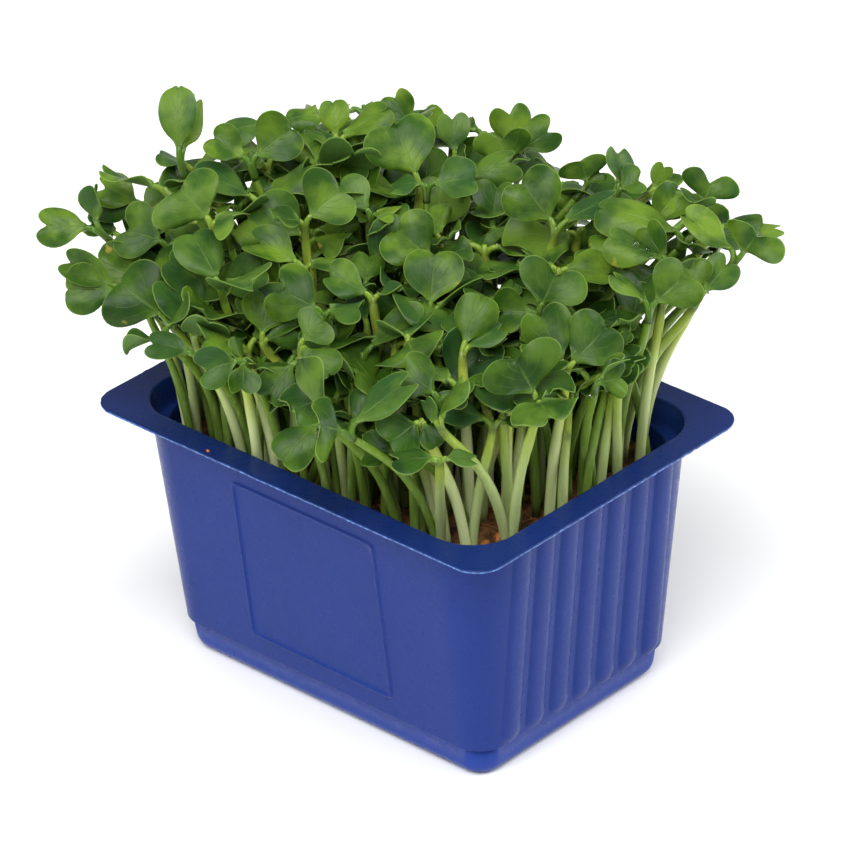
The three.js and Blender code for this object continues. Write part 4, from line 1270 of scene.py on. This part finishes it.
def add_seedling(piece, seedling, random, rows, half_columns):
    tone = random()
    add_stem(piece, seedling, tone)
    for blade in seedling["blades"]:
        add_stalk(piece, seedling, blade, tone)
        add_leaf(piece, blade, leaf_form(random, blade["head"][2]), rows, half_columns)


def node_feet():
    """The root ends of each seedlings node of the solids."""
    feet = {}
    for name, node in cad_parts.items():
        if name.startswith("seedlings"):
            points = np.array([vertex.co for vertex in node.data.vertices]) / MM
            feet[name] = points[points[:, 2] < SOIL_LEVEL - ROOT_DEPTH + 1][:, :2]
    return feet


def node_of(site, feet):
    """The node of the solids that stands in a root place."""
    place = np.array([site["x"], site["y"]])
    return min(feet, key=lambda name: np.linalg.norm(feet[name] - place, axis=1).min())


def add_cress(sites, extras, materials):
    """One piece for each seedlings node, and the extra seedlings in a few pieces."""
    random = seeded_random(FORM_SEED)
    feet = node_feet()
    clumps = {}
    for site in sites:
        if site["seedlings"]:
            clumps.setdefault(node_of(site, feet), []).extend(site["seedlings"])
    made = []
    for name, seedlings in sorted(clumps.items()):
        piece = Piece(*materials)
        for seedling in seedlings:
            add_seedling(piece, seedling, random, LEAF_ROWS, LEAF_HALF_COLUMNS)
        made.append(piece.object(name.replace("seedlings", "cress")))
        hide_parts(name)
    for part in range(INNER_PIECES):
        piece = Piece(*materials)
        for seedling in extras[part::INNER_PIECES]:
            add_seedling(piece, seedling, random, EXTRA_LEAF_ROWS, EXTRA_LEAF_HALF_COLUMNS)
        made.append(piece.object(f"inner_cress_{part + 1}"))
    return made


# Growing block


def soil_height(x, y):
    spot = Vector((x, y, 0))
    return SOIL_LEVEL - SOIL_SINK + sum(height * noise.noise(spot * scale) for height, scale in SOIL_LUMPS)


def add_soil(material):
    inset = plinth_inset(0) + FLOOR_WALL + SOIL_GAP
    floor, _ = wall_ring(inset, PLINTH_CORNER - SOIL_GAP, FLOOR_THICKNESS + SOIL_GAP)
    rows = [floor, inner_ring(PLINTH_HEIGHT, SOIL_GAP)[0]]
    outline, _ = inner_ring(SOIL_LEVEL, SOIL_GAP)
    for share in np.linspace(1, SOIL_MIDDLE, SOIL_RINGS):
        points = outline * share
        points[:, 2] = [soil_height(x, y) for x, y in points[:, :2]]
        rows.append(points)
    piece = Piece(material)
    piece.closed(np.array(rows), np.zeros(4))
    soil = piece.object("fibrous_block")
    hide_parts("growing_block")


def block_spot(random):
    return [between(random, -1, 1) * (reach - LOOSE_INSET) for reach in (WALL_LENGTH, WALL_WIDTH)]


def add_fibres(material):
    """Short fibres lying on the block."""
    random = seeded_random(SOIL_SEED)
    piece = Piece(material)
    for _ in range(FIBRE_COUNT):
        x, y = block_spot(random)
        turn = between(random, 0, 2 * math.pi)
        bend = between(random, -FIBRE_BEND, FIBRE_BEND)
        stride = between(random, *FIBRE_LENGTH) / (FIBRE_STEPS - 1)
        places = []
        for step in np.linspace(0, 1, FIBRE_STEPS):
            x += stride * math.cos(turn + bend * step)
            y += stride * math.sin(turn + bend * step)
            places.append((x, y, soil_height(x, y) + FIBRE_LIFT * math.sin(step * math.pi)))
        marks = marks_of((FIBRE_STEPS,), 0, 0, random())
        radii = np.full(FIBRE_STEPS, between(random, *FIBRE_RADIUS))
        tube(piece, np.array(places), radii, marks, sides=5)
    fibres = piece.object("block_fibres")


def turned_grid(turns, radii, columns):
    """A round shape from the angles off its pole and the radii of its rows."""
    angles = np.arange(columns) / columns * 2 * math.pi
    out, up = (radii * np.sin(turns))[:, None], (radii * np.cos(turns))[:, None]
    return np.stack(np.broadcast_arrays(out * np.cos(angles), out * np.sin(angles), up), -1)


def hull_points(random):
    """A split seed coat: a thin cup of about 1 mm in radius, a little crumpled."""
    outer = np.linspace(*HULL_OPENING, HULL_ROWS)
    radii = np.repeat([1, HULL_INSIDE], HULL_ROWS)
    stretch = [between(random, *limits) for limits in HULL_STRETCH]
    grid = turned_grid(np.concatenate([outer, outer[::-1]]), radii, HULL_COLUMNS) * stretch
    shift = Vector((between(random, 0, 50), 0, 0))
    for point in grid.reshape(-1, 3):
        point *= 1 + HULL_CRUMPLE * noise.noise(Vector(point) * HULL_CRUMPLE_SCALE + shift)
    return grid


def add_hull(piece, place, random, size=1):
    """A seed coat lying at a place, turned at random."""
    spin = Matrix.Rotation(between(random, 0, HULL_SPIN), 3, "Z")
    turn = np.array(spin @ Matrix.Rotation(between(random, 0, HULL_TILT), 3, "X"))
    grid = size * hull_points(random) @ turn.T + np.array(place)
    piece.closed(grid, marks_of(grid.shape[:2], 0, 0, random()), turned=True)


def add_hulls(material):
    """Seed coats between the stems, and the ones that can be told apart."""
    random = seeded_random(SOIL_SEED + 1)
    piece = Piece(material)
    for _ in range(HULL_COUNT):
        x, y = block_spot(random)
        add_hull(piece, (x, y, soil_height(x, y) + HULL_LIFT), random)
    for place in SEEN_HULLS:
        x, y, _ = on_level(place, SOIL_LEVEL + SEEN_HULL_LIFT)
        add_hull(piece, (x, y, soil_height(x, y) + SEEN_HULL_LIFT), random)
    crumb = on_level(RIM_CRUMB, TRAY_HEIGHT + CRUMB_SIZE / 2)
    add_hull(piece, crumb, random, CRUMB_SIZE)
    hulls = piece.object("seed_hulls")


# Seed coats, a crumb on the rim and water drops, by their places on the sighting plane
SEEN_HULLS = ((547, 520), (500, 435), (486, 545), (503, 552))
RIM_CRUMB = (208, 451)
CRUMB_SIZE = 0.3
DROPS = (
    (636, 245, 0.9), (647, 250, 0.6), (651, 258, 0.5), (567, 436, 0.7), (480, 361, 0.7),
    (592, 396, 0.5), (419, 301, 0.6),
)
DROP_FLATNESS = 0.7
DROP_SINK = 0.3
DROP_ROWS = 9
DROP_COLUMNS = 14
DROP_POLE = 0.02


def leaf_tree(cress):
    """Everything that a drop can lie on, for sight lines."""
    points = []
    faces = []
    for made in cress:
        first = len(points)
        points.extend(vertex.co / MM for vertex in made.data.vertices)
        faces.extend([first + corner for corner in face.vertices] for face in made.data.polygons)
    return BVHTree.FromPolygons(points, faces)


def add_drops(material, cress):
    """Flattened water drops where the sight lines meet the leaves."""
    tree = leaf_tree(cress)
    piece = Piece(material)
    turns = np.linspace(DROP_POLE, math.pi - DROP_POLE, DROP_ROWS)
    ball = turned_grid(turns, np.ones(DROP_ROWS), DROP_COLUMNS)
    for across, down, radius in DROPS:
        place, normal, _, _ = tree.ray_cast(Vector(EYE), Vector(unit(sight_line((across, down)))))
        if place is None:
            continue
        if normal @ Vector(BACK) < 0:
            normal = -normal
        turn = np.array(normal.to_track_quat("Z", "Y").to_matrix())
        middle = np.array(place) + np.array(normal) * radius * DROP_SINK
        grid = ball * (1, 1, DROP_FLATNESS) * radius @ turn.T + middle
        piece.closed(grid, np.zeros(4), turned=True)
    drops = piece.object("water_drops")


# Materials


class Paint:
    """A material's node tree, put together a node at a time."""

    def __init__(self, name):
        self.material = bpy.data.materials.new(name)
        self.material.use_nodes = True
        self.tree = self.material.node_tree
        self.shader = self.tree.nodes["Principled BSDF"]

    def put(self, socket, value):
        """Links an output to the socket, or sets a plain value on it."""
        if isinstance(value, bpy.types.NodeSocket):
            self.tree.links.new(value, socket)
        else:
            socket.default_value = value

    def node(self, kind, inputs=(), **settings):
        made = self.tree.nodes.new(kind)
        for name, value in settings.items():
            setattr(made, name, value)
        for name, value in dict(inputs).items():
            self.put(made.inputs[name], value)
        return made

    def surface(self, inputs):
        for name, value in inputs.items():
            self.put(self.shader.inputs[name], value)
        return self.material

    def marks(self):
        """The four marks of a point."""
        attribute = self.node("ShaderNodeAttribute", attribute_name="marks")
        parts = self.node("ShaderNodeSeparateColor", {"Color": attribute.outputs["Color"]})
        return [*parts.outputs, attribute.outputs["Alpha"]]

    def place(self, stretch=(1, 1, 1)):
        """The place on the object, in metres, with each axis stretched."""
        coordinates = self.node("ShaderNodeTexCoord").outputs["Object"]
        if stretch == (1, 1, 1):
            return coordinates
        return self.node("ShaderNodeMapping", {"Vector": coordinates, "Scale": stretch}).outputs[0]

    def noise(self, cycles, detail=3, stretch=(1, 1, 1)):
        """Noise with so many cycles in a metre."""
        inputs = {"Vector": self.place(stretch), "Scale": cycles, "Detail": detail}
        return self.node("ShaderNodeTexNoise", inputs).outputs[0]

    def math(self, operation, first, second=0.0):
        return self.node("ShaderNodeMath", {0: first, 1: second}, operation=operation).outputs[0]

    def step(self, value, low, high, first=0.0, last=1.0):
        """A smooth step from first to last, as the value goes from low to high."""
        inputs = {"Value": value, "From Min": low, "From Max": high, "To Min": first, "To Max": last}
        return self.node("ShaderNodeMapRange", inputs, interpolation_type="SMOOTHSTEP").outputs[0]

    def blend(self, share, first, last):
        """A colour between two, each a socket or three numbers."""
        made = self.node("ShaderNodeMix", {0: share}, data_type="RGBA")
        for socket, colour in ((6, first), (7, last)):
            plain = not isinstance(colour, bpy.types.NodeSocket)
            self.put(made.inputs[socket], (*colour, 1) if plain else colour)
        return made.outputs[2]

    def bump(self, height, depth):
        """A normal from a height of 0 to 1, which stands for a depth in millimetres."""
        inputs = {"Height": height, "Distance": depth * MM, "Strength": 1.0}
        return self.node("ShaderNodeBump", inputs).outputs[0]


def leaf_veins(paint, edge, along):
    """How much of a vein there is: the midrib and the side veins that branch off it."""
    waver = paint.math("MULTIPLY", paint.noise(260, 2), 0.5)
    order = paint.math("MULTIPLY", along, 4.5)
    order = paint.math("SUBTRACT", order, paint.math("MULTIPLY", edge, 1.6))
    order = paint.math("PINGPONG", paint.math("ADD", order, waver), 0.5)
    side = paint.math("MULTIPLY", paint.step(order, 0.01, 0.06, 1, 0), paint.step(edge, 0.3, 0.9, 0.5, 0))
    midrib = paint.math("MULTIPLY", paint.step(edge, 0.01, 0.06, 1, 0), paint.step(along, 0, 0.9, 1, 0.25))
    return paint.math("MAXIMUM", midrib, side)


def leaf_material():
    paint = Paint("seed_leaf")
    edge, along, tone, top = paint.marks()
    # The tone mark is partly random colour and partly painted light, which makes higher leaves lighter
    deep = paint.blend(tone, (0.008, 0.032, 0.003), (0.03, 0.085, 0.007))
    fresh = paint.blend(tone, (0.024, 0.072, 0.004), (0.14, 0.235, 0.018))
    colour = paint.blend(paint.step(paint.noise(160, 4), 0.36, 0.66), deep, fresh)
    hue = paint.math("FRACT", paint.math("MULTIPLY", tone, 13.7))
    colour = paint.blend(paint.step(hue, 0.5, 1, 0, 0.4), colour, (0.022, 0.075, 0.024))
    veins = leaf_veins(paint, edge, along)
    colour = paint.blend(paint.math("MULTIPLY", veins, 0.45), colour, (0.13, 0.22, 0.05))
    under = paint.blend(veins, (0.085, 0.17, 0.035), (0.19, 0.29, 0.09))
    colour = paint.blend(top, under, colour)
    base = paint.step(along, 0, 0.22, 0.5, 0)
    colour = paint.blend(base, colour, (0.13, 0.23, 0.035))
    colour = paint.blend(paint.step(edge, 0.96, 0.998, 0, 0.6), colour, (0.16, 0.24, 0.045))
    near_edge = paint.step(edge, 0.5, 0.8, 0, 0.7)
    blotches = paint.math("MULTIPLY", paint.step(paint.noise(150, 4), 0.69, 0.73), near_edge)
    colour = paint.blend(blotches, colour, (0.33, 0.26, 0.03))
    relief = paint.math("SUBTRACT", paint.math("MULTIPLY", paint.noise(340, 3), 1.6), veins)
    return paint.surface({
        "Base Color": colour,
        "Roughness": paint.step(paint.noise(500), 0.3, 0.7, 0.3, 0.42),
        "Normal": paint.bump(relief, 0.1),
        "Specular IOR Level": 0.16,
        "Subsurface Weight": 0.15,
        "Subsurface Radius": (0.5, 0.9, 0.15),
        "Subsurface Scale": 0.001,
    })


def stem_material():
    paint = Paint("stem")
    _, height, tone, _ = paint.marks()
    shade = paint.step(tone, 0.3, 1.1)
    foot = paint.blend(shade, (0.12, 0.2, 0.03), (0.58, 0.66, 0.33))
    head = paint.blend(shade, (0.12, 0.21, 0.015), (0.38, 0.46, 0.06))
    stalk = paint.blend(shade, (0.06, 0.14, 0.008), (0.19, 0.29, 0.025))
    colour = paint.blend(paint.step(height, 0.3, 0.8), foot, head)
    colour = paint.blend(paint.step(height, 0.8, 1.0), colour, stalk)
    streaks = paint.noise(1500, 2, (1, 1, 0.08))
    colour = paint.blend(paint.step(streaks, 0.5, 0.8, 0, 0.2), colour, (0.6, 0.68, 0.3))
    rings = paint.noise(2600, 2, (0.12, 0.12, 1))
    relief = paint.math("ADD", rings, paint.math("MULTIPLY", streaks, 0.7))
    return paint.surface({
        "Base Color": colour,
        "Roughness": paint.step(streaks, 0.3, 0.7, 0.28, 0.42),
        "Normal": paint.bump(relief, 0.05),
        "Specular IOR Level": 0.3,
        "Subsurface Weight": 0.5,
        "Subsurface Radius": (0.8, 1, 0.2),
        "Subsurface Scale": 0.002,
    })


def plastic_material():
    paint = Paint("blue_plastic")
    edge_wear_and_highlight, height, _, _ = paint.marks()
    colour = paint.blend(paint.noise(60), (0.008, 0.026, 0.162), (0.011, 0.032, 0.19))
    streaks = paint.noise(900, 3, (1, 1, 0.06))
    colour = paint.blend(paint.step(streaks, 0.55, 0.8, 0, 0.25), colour, (0.02, 0.045, 0.23))
    # Painted light: the plinth is painted a lighter blue, against the shade under the wall's overhang
    colour = paint.blend(paint.step(height, 0.1, 0.13, 0.6, 0), colour, (0.016, 0.05, 0.3))
    # Painted shade: the top of the rim is painted darker, for the shade of the leaves over it
    rim = paint.step(height, 0.985, 0.992)
    colour = paint.blend(rim, colour, (0.006, 0.019, 0.105))
    # The rim's trimmed edge is painted light blue: partly its worn, whitened edge, partly a painted
    # highlight
    rough_edge_and_highlight = paint.math("MULTIPLY", edge_wear_and_highlight, paint.step(paint.noise(900, 4), 0.4, 0.66, 0.35, 1))
    colour = paint.blend(rough_edge_and_highlight, colour, (0.2, 0.38, 0.85))
    grain = paint.math("ADD", paint.noise(2200, 3), paint.math("MULTIPLY", paint.noise(350), 1.5))
    return paint.surface({
        "Base Color": colour,
        "Roughness": paint.step(paint.noise(500, 4), 0.3, 0.7, 0.25, 0.35),
        "Normal": paint.bump(grain, 0.01),
        "Specular IOR Level": 0.14,
    })


def soil_material():
    paint = Paint("growing_medium")
    _, _, tone, _ = paint.marks()
    coarse = paint.noise(400, 6)
    colour = paint.blend(paint.step(coarse, 0.35, 0.7), (0.06, 0.022, 0.007), (0.26, 0.11, 0.03))
    colour = paint.blend(paint.math("MULTIPLY", tone, 0.6), colour, (0.36, 0.2, 0.07))
    return paint.surface({
        "Base Color": colour,
        "Roughness": paint.step(coarse, 0.3, 0.7, 0.75, 0.95),
        "Normal": paint.bump(paint.noise(1500, 6), 0.5),
    })


def hull_material():
    paint = Paint("seed_coat")
    _, _, tone, _ = paint.marks()
    colour = paint.blend(tone, (0.36, 0.1, 0.018), (0.6, 0.24, 0.05))
    colour = paint.blend(paint.step(paint.noise(900, 4), 0.5, 0.7), colour, (0.12, 0.04, 0.015))
    return paint.surface({
        "Base Color": colour,
        "Roughness": paint.step(paint.noise(700), 0.3, 0.7, 0.45, 0.65),
        "Normal": paint.bump(paint.noise(1800, 4), 0.2),
    })


def water_material():
    paint = Paint("water")
    return paint.surface({
        "Base Color": paint.blend(paint.noise(300), (0.97, 1, 0.98), (1, 1, 1)),
        "Roughness": 0.02,
        "IOR": 1.333,
        "Transmission Weight": 1.0,
    })


def floor_material():
    paint = Paint("studio_floor")
    return paint.surface({
        "Base Color": paint.blend(paint.noise(12), (0.86, 0.86, 0.86), (0.88, 0.88, 0.88)),
        "Roughness": 0.8,
        "Specular IOR Level": 0.2,
    })


# Studio

FLOOR_HALF = 4
KEY = {"azimuth": 22, "elevation": 58, "distance": 1.3, "side": 0.95, "power": 20}
RIGHT = {"azimuth": 138, "elevation": 34, "distance": 1.3, "side": 0.8, "power": 13}
SIDE = {"azimuth": -15, "elevation": 20, "distance": 1.4, "side": 1.2, "power": 5}
WORLD_LIGHT = 0.48


def add_floor():
    corners = [(-1, -1), (1, -1), (1, 1), (-1, 1)]
    mesh = bpy.data.meshes.new("studio_floor")
    mesh.from_pydata([(x * FLOOR_HALF, y * FLOOR_HALF, 0) for x, y in corners], [], [(0, 1, 2, 3)])
    mesh.materials.append(floor_material())
    floor = bpy.data.objects.new("studio_floor", mesh)
    bpy.context.scene.collection.objects.link(floor)


def add_light(name, azimuth, elevation, distance, side, power):
    """A square light that looks at the middle of the part."""
    turn = math.radians(azimuth)
    rise = math.radians(elevation)
    away = Vector((math.sin(turn) * math.cos(rise), -math.cos(turn) * math.cos(rise), math.sin(rise)))
    light = bpy.data.lights.new(name, "AREA")
    light.size = side
    light.energy = power
    lamp = bpy.data.objects.new(name, light)
    lamp.location = away * distance + Vector(TARGET * MM)
    lamp.rotation_euler = away.to_track_quat("Z", "Y").to_euler()
    bpy.context.scene.collection.objects.link(lamp)


def add_world():
    world = bpy.data.worlds.new("studio")
    world.use_nodes = True
    background = world.node_tree.nodes["Background"]
    background.inputs["Color"].default_value = (1, 1, 1, 1)
    background.inputs["Strength"].default_value = WORLD_LIGHT
    bpy.context.scene.world = world


def add_camera():
    camera = bpy.data.cameras.new("photo_view")
    camera.sensor_width = SENSOR
    camera.lens = FOCAL / PHOTO_LONG_SIDE * SENSOR
    camera.clip_start = 0.05
    camera.clip_end = 50
    seat = bpy.data.objects.new("photo_view", camera)
    turn = np.eye(4)
    turn[:3, 0] = SIGHT_RIGHT
    turn[:3, 1] = SIGHT_UP
    turn[:3, 2] = BACK
    turn[:3, 3] = EYE * MM
    seat.matrix_world = Matrix(turn)
    bpy.context.scene.collection.objects.link(seat)
    bpy.context.scene.camera = seat


def add_studio():
    add_floor()
    add_world()
    add_light("key", **KEY)
    add_light("right", **RIGHT)
    add_light("side", **SIDE)
    add_camera()
    bpy.context.scene.view_settings.view_transform = "Standard"


sites = root_sites()
seedlings = grow_seedlings(sites)
extras = grow_extras(seedlings)
extras += grow_between(seedlings + extras)
cress = add_cress(sites, extras, (leaf_material(), stem_material()))
add_punnet(plastic_material())
growing_medium = soil_material()
add_soil(growing_medium)
add_fibres(growing_medium)
add_hulls(hull_material())
add_drops(water_material(), cress)
add_studio()
